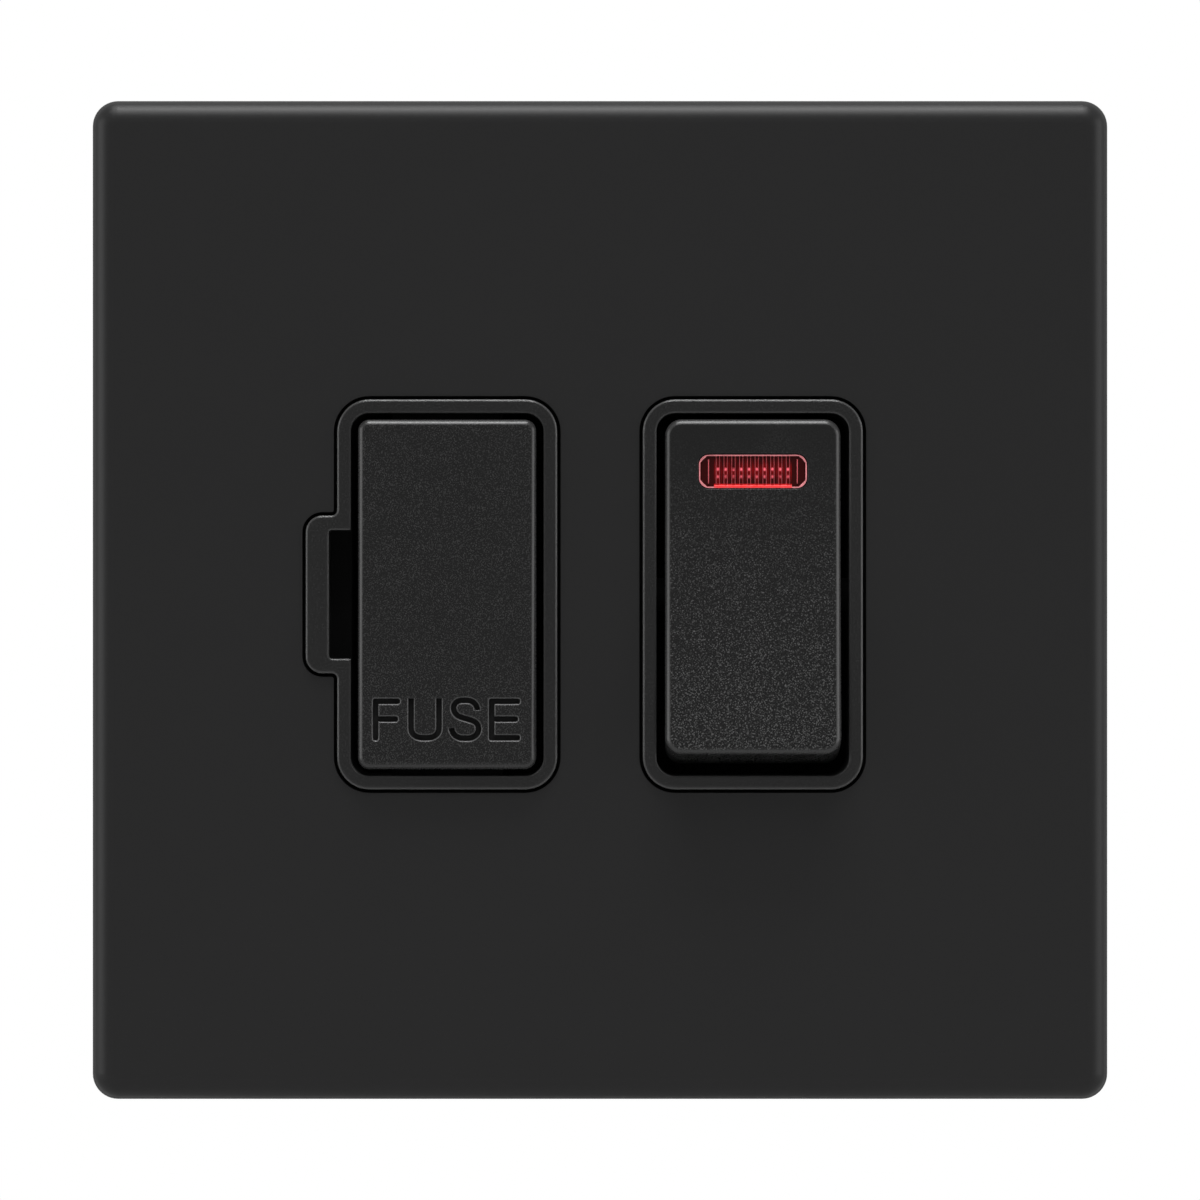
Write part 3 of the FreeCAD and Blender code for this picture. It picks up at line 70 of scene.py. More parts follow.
Colour = Tuple[float, float, float]
Point = Tuple[float, float, float]
Span = Tuple[float, float]
Operand = Union["Signal", float]
Settings = Optional[Dict[str, Any]]
Sockets = Dict[Union[int, str], Any]

MM = 0.001
FAR_BACK = 100 * MM
SAME_PLACE = 1e-6
ONE_POINT = 1e-7
FACING = 0.9
MIX_SHARE, MIX_LOW, MIX_HIGH, MIX_COLOUR = 0, 6, 7, 2
BEVEL_SAMPLES = 6
HOLLOW_SAMPLES = 8
GRAIN_ROUGHNESS = 0.55
NORMAL_WEIGHT = 50


class Axis(Enum):
    """The three axes of the model."""

    X = 0
    Y = 1
    Z = 2


class Cable(Enum):
    """The two cables that the terminals take, with the heights of their clamp screws."""

    SUPPLY = 24.7 * MM
    LOAD = -23.7 * MM


class Wire(Enum):
    """The three wires of a cable, with their places across the unit."""

    LIVE = -15.0 * MM
    EARTH = 0.0
    NEUTRAL = 15.0 * MM


@dataclass(frozen=True)
class Region:
    """A box in the model's frame; an axis without a span is open."""

    x: Optional[Span] = None
    y: Optional[Span] = None
    z: Optional[Span] = None


def grey(level: float) -> Colour:
    """A colour without hue."""
    return (level, level, level)


def lighter(colour: Colour, share: float) -> Colour:
    """A colour scaled by a share and kept at most white."""
    return tuple(min(1.0, channel * share) for channel in colour)


class Signal:
    """A number that changes over a surface; arithmetic on it adds Math nodes."""

    def __init__(self, graph: "Nodes", socket: bpy.types.NodeSocket) -> None:
        """Wraps an output socket.

        Args:
            graph: The nodes that the socket belongs to.
            socket: The output to read.
        """
        self.graph = graph
        self.socket = socket

    def _maths(self, operation: str, *values: Operand) -> "Signal":
        """One Math node over the given values."""
        return self.graph.node("ShaderNodeMath", {"operation": operation}, dict(enumerate(values)))

    def __add__(self, other: Operand) -> "Signal":
        """Sum."""
        return self._maths("ADD", self, other)

    __radd__ = __add__

    def __sub__(self, other: Operand) -> "Signal":
        """Difference."""
        return self._maths("SUBTRACT", self, other)

    def __rsub__(self, other: float) -> "Signal":
        """Difference with the number first."""
        return self._maths("SUBTRACT", other, self)

    def __mul__(self, other: Operand) -> "Signal":
        """Product."""
        return self._maths("MULTIPLY", self, other)

    __rmul__ = __mul__

    def __truediv__(self, other: Operand) -> "Signal":
        """Quotient."""
        return self._maths("DIVIDE", self, other)

    def __abs__(self) -> "Signal":
        """Size without the sign."""
        return self._maths("ABSOLUTE", self)

    def __lt__(self, other: Operand) -> "Signal":
        """1 where this is the smaller one."""
        return self._maths("LESS_THAN", self, other)

    def wave(self) -> "Signal":
        """Sine, from -1 to 1."""
        return self._maths("SINE", self)

    def fraction(self) -> "Signal":
        """What stands behind the point."""
        return self._maths("FRACT", self)

    def larger(self, other: Operand) -> "Signal":
        """The larger of two."""
        return self._maths("MAXIMUM", self, other)

    def clamped(self) -> "Signal":
        """Kept between 0 and 1."""
        return self._maths("MINIMUM", self.larger(0.0), 1.0)


class Nodes:
    """A node tree that is filled call by call."""

    def __init__(self, tree: bpy.types.NodeTree) -> None:
        """Takes a tree and empties it.

        Args:
            tree: The tree of a material or of the world.
        """
        self.tree = tree
        self.tree.nodes.clear()

    def add(
        self, kind: str, settings: Settings = None, sockets: Optional[Sockets] = None
    ) -> bpy.types.Node:
        """Adds a node: first its settings, then the values or links of its sockets.

        Args:
            kind: Blender's name of the node type.
            settings: Properties of the node.
            sockets: Values or signals by socket name or number.

        Returns:
            The node.
        """
        made = self.tree.nodes.new(kind)
        for key, value in (settings or {}).items():
            setattr(made, key, value)
        for key, value in (sockets or {}).items():
            self.feed(made.inputs[key], value)
        return made

    def node(
        self,
        kind: str,
        settings: Settings = None,
        sockets: Optional[Sockets] = None,
        out: Union[int, str] = 0,
    ) -> Signal:
        """Adds a node and reads one of its outputs.

        Args:
            kind: Blender's name of the node type.
            settings: Properties of the node.
            sockets: Values or signals by socket name or number.
            out: Name or number of the output.

        Returns:
            The signal at the output.
        """
        return Signal(self, self.add(kind, settings, sockets).outputs[out])

    def feed(self, socket: bpy.types.NodeSocket, value: Any) -> None:
        """Links a signal to a socket or sets its value.

        Args:
            socket: The input.
            value: A signal, a number, a vector or a colour.
        """
        if isinstance(value, Signal):
            self.tree.links.new(value.socket, socket)
        elif isinstance(value, tuple) and len(value) == 3 and socket.type == "RGBA":
            socket.default_value = (*value, 1.0)
        else:
            socket.default_value = value


class Graph(Nodes):
    """The nodes of one material, ending in a Principled BSDF."""

    def __init__(self, name: str) -> None:
        """Makes an empty material.

        Args:
            name: Name of the material.
        """
        self.material = bpy.data.materials.new(name)
        self.material.use_nodes = True
        super().__init__(self.material.node_tree)
        self.shader = self.add("ShaderNodeBsdfPrincipled")
        self.add("ShaderNodeOutputMaterial", sockets={0: Signal(self, self.shader.outputs[0])})

    def place(self) -> Signal:
        """The point of the surface, in metres in the model's frame."""
        return self.node("ShaderNodeTexCoord", out="Object")

    def part_of(self, vector: Signal, axis: Axis) -> Signal:
        """One coordinate of a vector."""
        return self.node("ShaderNodeSeparateXYZ", sockets={0: vector}, out=axis.value)

    def along(self, axis: Axis) -> Signal:
        """One coordinate of the point of the surface."""
        return self.part_of(self.place(), axis)

    def stretched(self, scale: Point) -> Signal:
        """The point with each coordinate scaled, for patterns with a direction."""
        sockets = {"Vector": self.place(), "Scale": scale}
        return self.node("ShaderNodeMapping", {"vector_type": "POINT"}, sockets)

    def grain(self, size: float, detail: float = 2.0, at: Optional[Signal] = None) -> Signal:
        """Soft noise from 0 to 1.

        Args:
            size: Size of its largest spots in metres, or in the units of the given point.
            detail: Number of finer octaves.
            at: The point to read, if not the plain one.

        Returns:
            The noise.
        """
        sockets = {
            "Vector": at or self.place(),
            "Scale": 1.0 / size,
            "Detail": detail,
            "Roughness": GRAIN_ROUGHNESS,
        }
        return self.node("ShaderNodeTexNoise", {"noise_dimensions": "3D"}, sockets, "Fac")

    def cells(self, size: float) -> Signal:
        """Distance to the nearest of scattered points, for pitted or spangled faces."""
        sockets = {"Vector": self.place(), "Scale": 1.0 / size}
        return self.node("ShaderNodeTexVoronoi", {"feature": "F1"}, sockets, "Distance")

    def blended(
        self, share: Signal, low: Union[Signal, Colour], high: Union[Signal, Colour]
    ) -> Signal:
        """A colour between two.

        Args:
            share: How much of the second one, from 0 to 1.
            low: The first colour.
            high: The second colour.

        Returns:
            The mixed colour.
        """
        low, high = (end if isinstance(end, Signal) else (*end, 1.0) for end in (low, high))
        sockets = {MIX_SHARE: share, MIX_LOW: low, MIX_HIGH: high}
        return self.node("ShaderNodeMix", {"data_type": "RGBA"}, sockets, MIX_COLOUR)

    def within(self, region: Region) -> Optional[Signal]:
        """A mask of a box whose sides lie along the axes.

        Args:
            region: The box.

        Returns:
            1 inside the box and 0 outside.
        """
        share: Optional[Signal] = None
        for axis, span in zip(Axis, (region.x, region.y, region.z)):
            if span is not None:
                middle, half = (span[0] + span[1]) / 2, (span[1] - span[0]) / 2
                inside = abs(self.along(axis) - middle) < half
                share = inside if share is None else share * inside
        return share

    def softened(self, radius: float) -> Signal:
        """The normal with sharp edges rounded in the shading alone."""
        return self.node("ShaderNodeBevel", {"samples": BEVEL_SAMPLES}, {"Radius": radius})

    def hollow(self, reach: float) -> Signal:
        """How shut in a point is by the walls within reach, from 0 to 1, for painting shade into
        slots and corners.
        """
        kind, settings = "ShaderNodeAmbientOcclusion", {"samples": HOLLOW_SAMPLES}
        return 1 - self.node(kind, settings, {"Distance": reach}, "AO")

    def relief(self, height: Signal, depth: float, base: Optional[Signal] = None) -> Signal:
        """A Bump node's normal.

        Args:
            height: The relief, from 0 to 1.
            depth: Depth in metres of a relief of 1.
            base: The normal of a coarser relief under it.

        Returns:
            The normal.
        """
        sockets: Sockets = {"Strength": 1.0, "Distance": depth, "Height": height}
        if base is not None:
            sockets["Normal"] = base
        return self.node("ShaderNodeBump", {}, sockets, "Normal")

    def finish(self, **sockets: Any) -> bpy.types.Material:
        """Sets the shader's own sockets, named with underscores for spaces.

        Args:
            **sockets: Values or signals.

        Returns:
            The material.
        """
        for name, value in sockets.items():
            self.feed(self.shader.inputs[name.replace("_", " ")], value)
        return self.material


@dataclass(frozen=True)
class Moulding:
    """Black thermoset or thermoplastic as it leaves the mould."""

    name: str
    colour: Colour
    roughness: float = 0.45
    specular: float = 0.3
    grain_size: float = 0.25 * MM
    grain_depth: float = 0.004 * MM
    mottle: float = 0.12
    contrast: float = 1.0
    share: float = 0.5
    middle: float = 0.5
    darkest: float = 0.2
    patch_size: float = 2.5 * MM
    patch_gain: float = 2.6
    patch_floor: float = 0.3
    quiet: float = 0.25
    flow_size: float = 9 * MM
    flow_share: float = 0.3
    gloss_spread: float = 0.08
    coarse_size: float = 2.5
    coarse_depth: float = 0.6
    soft_edge: float = 0.08 * MM
    rim_start: float = 20.0
    rim_end: float = 0.85
    rim_fade: float = 6.0
    # Painted highlights: a paler colour on the roundings between front and sides, one for each
    # region.
    painted_rim_highlights: Tuple[Tuple[Region, Colour], ...] = ()
    # Painted light: a span along Z over which the grain is painted paler and more speckled toward
    # its foot.
    lit_foot_span: Optional[Span] = None
    # Regions that are rough and recoloured: painted shade where their colour is dark, in wells and
    # grooves; on the plate, a rougher and slightly paler finish on its inner walls and back.
    matt_and_shaded: Tuple[Region, ...] = ()
    matt_and_shade_colour: Colour = grey(0.001)
    matt_roughness: float = 0.95

    def heights(self, graph: Graph) -> Signal:
        """The grain of the surface, from 0 to 1."""
        return graph.grain(self.grain_size, 3.0)

    def tone(self, graph: Graph, heights: Signal) -> Signal:
        """Where the surface is paler: on the grain's tops, in patches, along flow marks, and more
        toward the foot of a painted-light span.

        Args:
            graph: The material's nodes.
            heights: The grain.

        Returns:
            The share of the paler colour, from 0 to 1.
        """
        flow = graph.grain(self.flow_size) - 0.5
        patches = (graph.grain(self.patch_size) * self.patch_gain - self.patch_floor).clamped()
        strength: Signal = (
            patches * ((1 - self.quiet) * self.contrast) + self.quiet * self.contrast
        )
        share: Operand = self.share
        # painted light: paler, more speckled grain toward the foot of the span
        if self.lit_foot_span is not None:
            lower = self.lower(graph)
            strength, share = strength * lower, share * lower
        return ((heights - self.middle) * strength + flow * self.flow_share + share).clamped()

    def lower(self, graph: Graph) -> Signal:
        """From the quiet share at the top of the painted-light span to 1 at its foot: the grain is
        painted paler and more speckled lower down, as light falls on it there.
        """
        foot, top = self.lit_foot_span
        return (1 - (graph.along(Axis.Z) - foot) * ((1 - self.quiet) / (top - foot))).clamped()

    def rounding(self, graph: Graph, soft: Signal) -> Signal:
        """The roundings between the front and the sides, where highlights are painted.

        Args:
            graph: The material's nodes.
            soft: The softened normal.

        Returns:
            1 on the roundings, 0 on the front and on the sides.
        """
        slope = 1 + graph.part_of(soft, Axis.Y)
        past_front = (slope * self.rim_start - 1).clamped()
        return past_front * ((self.rim_end - slope) * self.rim_fade).clamped()

    def normal(self, graph: Graph, heights: Signal, soft: Signal) -> Signal:
        """The relief of the grain, fine over coarse, over softened edges.

        Args:
            graph: The material's nodes.
            heights: The fine grain.
            soft: The softened normal.

        Returns:
            The normal.
        """
        swells = graph.grain(self.coarse_size * self.grain_size)
        coarse = graph.relief(swells, self.coarse_depth * self.grain_depth, soft)
        return graph.relief(heights, self.grain_depth, coarse)

    def material(self) -> bpy.types.Material:
        """Builds the material, with highlights painted on the roundings; inside the wells and
        grooves the moulding is rough and painted dark for shade.

        Returns:
            The material.
        """
        graph = Graph(self.name)
        heights = self.heights(graph)
        dark = lighter(self.colour, max(self.darkest, 1 - self.mottle))
        pale = lighter(self.colour, 1 + self.mottle)
        colour: Signal = graph.blended(self.tone(graph, heights), dark, pale)
        gloss = self.roughness + (heights - 0.5) * self.gloss_spread
        soft = graph.softened(self.soft_edge)
        # painted highlights on the roundings
        for region, paler in self.painted_rim_highlights:
            share = self.rounding(graph, soft) * graph.within(region)
            colour = graph.blended(share, colour, paler)
        # painted shade where the region's colour is dark, with a rougher finish
        for region in self.matt_and_shaded:
            share = graph.within(region)
            colour = graph.blended(share, colour, self.matt_and_shade_colour)
            gloss = gloss + share * (self.matt_roughness - self.roughness)
        return graph.finish(
            Base_Color=colour,
            Roughness=gloss.clamped(),
            Normal=self.normal(graph, heights, soft),
            Specular_IOR_Level=self.specular,
        )


@dataclass(frozen=True)
class SparkedMoulding(Moulding):
    """Black moulding from a spark-eroded mould: an even, pebbly texture."""

    pebble_size: float = 1.5
    pebble_level: float = 0.8
    pebble_share: float = 0.35
    soft_share: float = 0.8

    def heights(self, graph: Graph) -> Signal:
        """Pebbles with shallow pits between them, over softer grain.

        Args:
            graph: The material's nodes.

        Returns:
            The grain, from 0 to 1.
        """
        pebbles = self.pebble_level - graph.cells(self.pebble_size * self.grain_size)
        soft = super().heights(graph)
        return (pebbles * self.pebble_share + soft * self.soft_share).clamped()


@dataclass(frozen=True)
class Plated:
    """Bright zinc or nickel over steel or brass."""

    name: str
    colour: Colour
    roughness: float = 0.3
    spangle: float = 1.6 * MM
    rolled: Optional[Axis] = None
    # Reach of the painted shade in slots and corners.
    recess: float = 1.0 * MM
    shade_colour: Colour = (0.10, 0.10, 0.11)
    tints: Span = (0.78, 1.08)
    cloud_size: float = 4 * MM
    cloud_share: float = 0.6
    spangle_share: float = 0.5
    shade_gain: float = 1.5
    cloud_gloss: float = 0.16
    relief_gloss: float = 0.1
    line_size: float = 0.12 * MM
    line_stretch: float = 0.03
    plain_size: float = 0.06 * MM
    relief_depth: float = 0.003 * MM

    def lines(self, graph: Graph) -> Signal:
        """The fine relief, drawn out into lines where the sheet was rolled.

        Args:
            graph: The material's nodes.

        Returns:
            The relief, from 0 to 1.
        """
        if self.rolled is None:
            return graph.grain(self.plain_size)
        scale = [1.0, 1.0, 1.0]
        scale[self.rolled.value] = self.line_stretch
        return graph.grain(self.line_size, at=graph.stretched(tuple(scale)))

    def material(self) -> bpy.types.Material:
        """Builds the material: faint spangle, fine rolled lines, clouded gloss and painted shade in
        slots and corners.

        Returns:
            The material.
        """
        graph = Graph(self.name)
        cloud = graph.grain(self.cloud_size, 3.0)
        spangle = graph.cells(self.spangle)
        tone = (cloud * self.cloud_share + spangle * self.spangle_share).clamped()
        low, high = (lighter(self.colour, tint) for tint in self.tints)
        # painted shade: darker where the surface is shut in, in slots and corners
        painted_shade = (graph.hollow(self.recess) * self.shade_gain).clamped()
        colour = graph.blended(painted_shade, graph.blended(tone, low, high), self.shade_colour)
        relief = self.lines(graph)
        clouded = self.roughness + (cloud - 0.5) * self.cloud_gloss
        gloss = clouded + (relief - 0.5) * self.relief_gloss
        return graph.finish(
            Base_Color=colour,
            Metallic=1.0,
            Roughness=gloss.clamped(),
            Normal=graph.relief(relief, self.relief_depth),
        )


@dataclass(frozen=True)
class CutMetal:
    """Machined, rolled or turned metal with tool marks along one way."""

    name: str
    colour: Colour
    lines: Axis
    pitch: float = 0.09 * MM
    roughness: float = 0.28
    tarnish: Colour = (0.35, 0.2, 0.1)
    tarnish_share: float = 0.18
    wander_size: float = 1.5 * MM
    wander: float = 9.0
    cloud_size: float = 2.6 * MM
    cloud_middle: float = 0.4
    cloud_gain: float = 2.2
    cloud_gloss: float = 0.2
    mark_gloss: float = 0.05
    fine_size: float = 0.05 * MM
    mark_share: float = 0.7
    relief_depth: float = 0.002 * MM

    def material(self) -> bpy.types.Material:
        """Builds the material: tool marks, uneven gloss and a little tarnish.

        Returns:
            The material.
        """
        graph = Graph(self.name)
        turns = graph.along(self.lines) * (2 * math.pi / self.pitch)
        marks = (turns + graph.grain(self.wander_size) * self.wander).wave() * 0.5 + 0.5
        cloud = graph.grain(self.cloud_size, 4.0)
        aged = (cloud * cloud * (self.cloud_gain * self.tarnish_share)).clamped()
        clouded = self.roughness + (cloud - self.cloud_middle) * self.cloud_gloss
        gloss = clouded + marks * self.mark_gloss
        height = marks * self.mark_share + graph.grain(self.fine_size) * (1 - self.mark_share)
        return graph.finish(
            Base_Color=graph.blended(aged, self.colour, self.tarnish),
            Metallic=1.0,
            Roughness=gloss.clamped(),
            Normal=graph.relief(height, self.relief_depth),
        )


@dataclass(frozen=True)
class Fired:
    """Unglazed ceramic tube."""

    name: str
    colour: Colour
    speck: Colour = (0.42, 0.38, 0.3)
    speck_pitch: float = 0.9 * MM
    speck_size: float = 0.09
    speck_share: float = 0.45
    cloud_size: float = 3 * MM
    cloud_share: float = 0.12
    fine_size: float = 0.12 * MM
    relief_depth: float = 0.006 * MM
    roughness: float = 0.72
    gloss_spread: float = 0.2

    def material(self) -> bpy.types.Material:
        """Builds the material: chalky grain with a few darker specks.

        Returns:
            The material.
        """
        graph = Graph(self.name)
        specks = (graph.cells(self.speck_pitch) < self.speck_size) * self.speck_share
        share = (specks + graph.grain(self.cloud_size, 3.0) * self.cloud_share).clamped()
        fine = graph.grain(self.fine_size, 3.0)
        return graph.finish(
            Base_Color=graph.blended(share, self.colour, self.speck),
            Roughness=(self.roughness + (fine - 0.5) * self.gloss_spread).clamped(),
            Normal=graph.relief(fine, self.relief_depth),
        )


@dataclass(frozen=True)
class Lacquered:
    """Resistor body: tan lacquer with bands painted round it."""

    name: str
    colour: Colour
    middle: float
    pitch: float
    band: Colour
    bands: int = 3
    gap: float = 0.72
    sharpness: float = 9.0
    roughness: float = 0.25
    gloss_spread: float = 0.12
    fine_size: float = 0.3 * MM
    relief_depth: float = 0.01 * MM

    def material(self) -> bpy.types.Material:
        """Builds the material: bands across X, glossy and slightly wavy.

        Returns:
            The material.
        """
        graph = Graph(self.name)
        place = (graph.along(Axis.X) - self.middle) / self.pitch
        ripple = (place * (2 * math.pi)).wave() * 0.5 + 0.5
        painted = ((ripple - self.gap) * self.sharpness).clamped()
        share = painted * (abs(place) < self.bands / 2)
        fine = graph.grain(self.fine_size)
        return graph.finish(
            Base_Color=graph.blended(share, self.colour, self.band),
            Roughness=(self.roughness + fine * self.gloss_spread).clamped(),
            Normal=graph.relief(fine, self.relief_depth),
        )


@dataclass(frozen=True)
class LampGlass:
    """Thin clear glass of the indicator lamp."""

    name: str
    colour: Colour = (0.97, 0.96, 0.94)
    refraction: float = 1.5
    roughness: float = 0.02
    gloss_spread: float = 0.04
    wave_size: float = 1.2 * MM
    wave_depth: float = 0.004 * MM

    def material(self) -> bpy.types.Material:
        """Builds the material: clear, with the faint waves of drawn tube.

        Returns:
            The material.
        """
        graph = Graph(self.name)
        wave = graph.grain(self.wave_size)
        return graph.finish(
            Base_Color=self.colour,
            Roughness=(self.roughness + wave * self.gloss_spread).clamped(),
            Normal=graph.relief(wave, self.wave_depth),
            Transmission_Weight=1.0,
            IOR=self.refraction,
        )


@dataclass(frozen=True)
class Ramp:
    """A straight rise of a share with a pattern: gain times the pattern, plus a start."""

    gain: float
    start: float = 0.0

    def of(self, pattern: Signal) -> Signal:
        """The share, kept between 0 and 1."""
        return (pattern * self.gain + self.start).clamped()


@dataclass(frozen=True)
class LensRed:
    """Clear red plastic of the indicator lens: deep red, with a painted glow and painted highlights
    along the ribs' edges, the end bars, the border and the sill, and painted glints.
    """

    name: str
    middle: Span = (13.75 * MM, 11.57 * MM)
    half: Span = (4.85 * MM, 1.5 * MM)
    border: float = 0.14 * MM
    corner: float = 0.66 * MM
    rib_pitch: float = 0.70 * MM
    rib_edge: float = 0.155 * MM
    line: float = 0.04 * MM
    ribbed: float = 3.5 * MM
    end_bar: float = 0.86 * MM
    end_bar_half: Span = (0.045 * MM, 1.1 * MM)
    glint_rows: Tuple[Span, ...] = ((0.18 * MM, 1.0), (-0.48 * MM, 0.6))
    glint_half: float = 0.16 * MM
    front: float = -7.26 * MM
    # deep is the plastic's own red; glow is a painted glow, as nothing lights the lens; edge, the
    # border colour, sill and glint are painted highlights and glints.
    deep: Colour = (0.022, 0.0004, 0.0004)
    glow: Colour = (0.155, 0.001, 0.002)
    edge: Colour = (0.48, 0.09, 0.105)
    rim_highlight: Colour = (0.58, 0.20, 0.215)
    sill: Colour = (0.70, 0.02, 0.020)
    glint: Colour = (0.93, 0.13, 0.17)
    glow_gain: float = 2.2
    glow_floor: float = 0.57
    glow_fade: float = 0.5 / MM
    edge_ramp: Ramp = Ramp(0.9, 0.45)
    bar_share: float = 0.75
    row_level: float = 1.2
    core_ramp: Ramp = Ramp(2.4, -1.2)
    spot_ramp: Ramp = Ramp(3.2, -0.7)
    rim_ramp: Ramp = Ramp(0.7, 0.55)
    sill_level: float = 1.3
    sill_place: float = 1.1
    sill_half: float = 1.5
    sill_ramp: Ramp = Ramp(1.0, 0.5)
    crest_place: float = 1.4
    crest_ramp: Ramp = Ramp(2.4, -0.4)
    streak_size: float = 0.22 * MM
    streak_stretch: float = 0.12
    blotch_size: float = 0.5 * MM
    fine_size: float = 0.2 * MM
    relief_depth: float = 0.002 * MM
    roughness: float = 0.12
    gloss_spread: float = 0.1
    transmission: float = 0.05
    specular: float = 0.04
    refraction: float = 1.49

    def near(self, distance: Signal) -> Signal:
        """1 on a thin line and 0 beside it, by the distance from it."""
        return (1 - abs(distance) * (1 / self.line)).clamped()

    def rib_lines(self, across: Signal) -> Tuple[Signal, Signal]:
        """How near a point is to the lines of a rib.

        Args:
            across: Place across the lens, from its middle.

        Returns:
            From 0 to 1, how near it is to the rib's two edges, and to its middle.
        """
        turns = across * (1 / self.rib_pitch)
        off = abs(turns.fraction() - 0.5) * self.rib_pitch
        return self.near(off - self.rib_edge), (1 - off * (1 / (2 * self.rib_edge))).clamped()

    def rim_share(self, across: Signal, up: Signal) -> Signal:
        """The thin border with its cut corners, where a highlight is painted.

        Args:
            across: Place across the lens, from its middle.
            up: Place up the lens, from its middle.

        Returns:
            1 on the border, 0 inside it.
        """
        wide, high = self.half
        cut = wide + high - self.corner - self.crest_place * self.border
        ends = (abs(across) - (wide - self.border)) * (1 / self.line)
        sides = (abs(up) - (high - self.border)) * (1 / self.line)
        corners = (abs(across) + abs(up) - cut) * (1 / self.line)
        return (ends.clamped() + sides.clamped() + corners.clamped()).clamped()

    def combed(
        self, graph: Graph, across: Signal, up: Signal, streak: Signal, blotch: Signal
    ) -> Signal:
        """The colour of the comb of ribs: deep red, a painted glow, painted highlights on the ribs'
        edges and painted glints.

        Args:
            graph: The material's nodes.
            across: Place across the lens, from its middle.
            up: Place up the lens, from its middle.
            streak: Upright streaks, from 0 to 1.
            blotch: Soft spots, from 0 to 1.

        Returns:
            The colour.
        """
        comb = abs(across) < self.ribbed
        edges, core = self.rib_lines(across)
        # painted glow in upright streaks, strongest across the middle
        glow = streak * self.glow_gain - abs(up) * self.glow_fade - self.glow_floor
        colour = graph.blended(glow.clamped() * comb, self.deep, self.glow)
        # painted highlights along the ribs' edges
        colour = graph.blended(edges * comb * self.edge_ramp.of(blotch), colour, self.edge)
        # painted glints in two rows
        for level, strength in self.glint_rows:
            row = (self.row_level - abs(up - level) * (1 / self.glint_half)).clamped()
            spots = row * self.core_ramp.of(core) * comb * self.spot_ramp.of(blotch)
            colour = graph.blended(spots * strength, colour, self.glint)
        return colour

    def material(self) -> bpy.types.Material:
        """Builds the material: the comb, with painted highlights on its end bars, its border, its
        sill and the top edge of the sill.

        Returns:
            The material.
        """
        graph = Graph(self.name)
        across = graph.along(Axis.X) - self.middle[0]
        up = graph.along(Axis.Z) - self.middle[1]
        upright = graph.stretched((1.0, 1.0, self.streak_stretch))
        streak = graph.grain(self.streak_size, 3.0, upright)
        blotch = graph.grain(self.blotch_size)
        colour = self.combed(graph, across, up, streak, blotch)
        # painted highlights on the two end bars
        bar = abs(abs(across) - (self.half[0] - self.end_bar)) < self.end_bar_half[0]
        bar = bar * (abs(up) < self.end_bar_half[1]) * self.bar_share
        colour = graph.blended(bar, colour, self.edge)
        # painted highlight on the border of the window's front
        skin = graph.along(Axis.Y) < self.front
        border = self.rim_share(across, up) * skin * self.rim_ramp.of(blotch)
        colour = graph.blended(border, colour, self.rim_highlight)
        comb = abs(across) < self.ribbed
        # painted light: bright red along the sill
        foot = up + (self.half[1] - self.sill_place * self.border)
        lit_sill = (self.sill_level - abs(foot) * (1 / (self.sill_half * self.border))).clamped()
        colour = graph.blended(lit_sill * comb * self.sill_ramp.of(streak), colour, self.sill)
        # painted highlight along the top edge of the sill
        crest_highlight = self.near(up + (self.half[1] - self.crest_place * self.border))
        colour = graph.blended(crest_highlight * comb * self.crest_ramp.of(blotch), colour, self.rim_highlight)
        fine = graph.grain(self.fine_size)
        return graph.finish(
            Base_Color=colour,
            Roughness=(self.roughness + fine * self.gloss_spread).clamped(),
            Normal=graph.relief(fine, self.relief_depth),
            Transmission_Weight=self.transmission,
            Specular_IOR_Level=self.specular,
            IOR=self.refraction,
        )


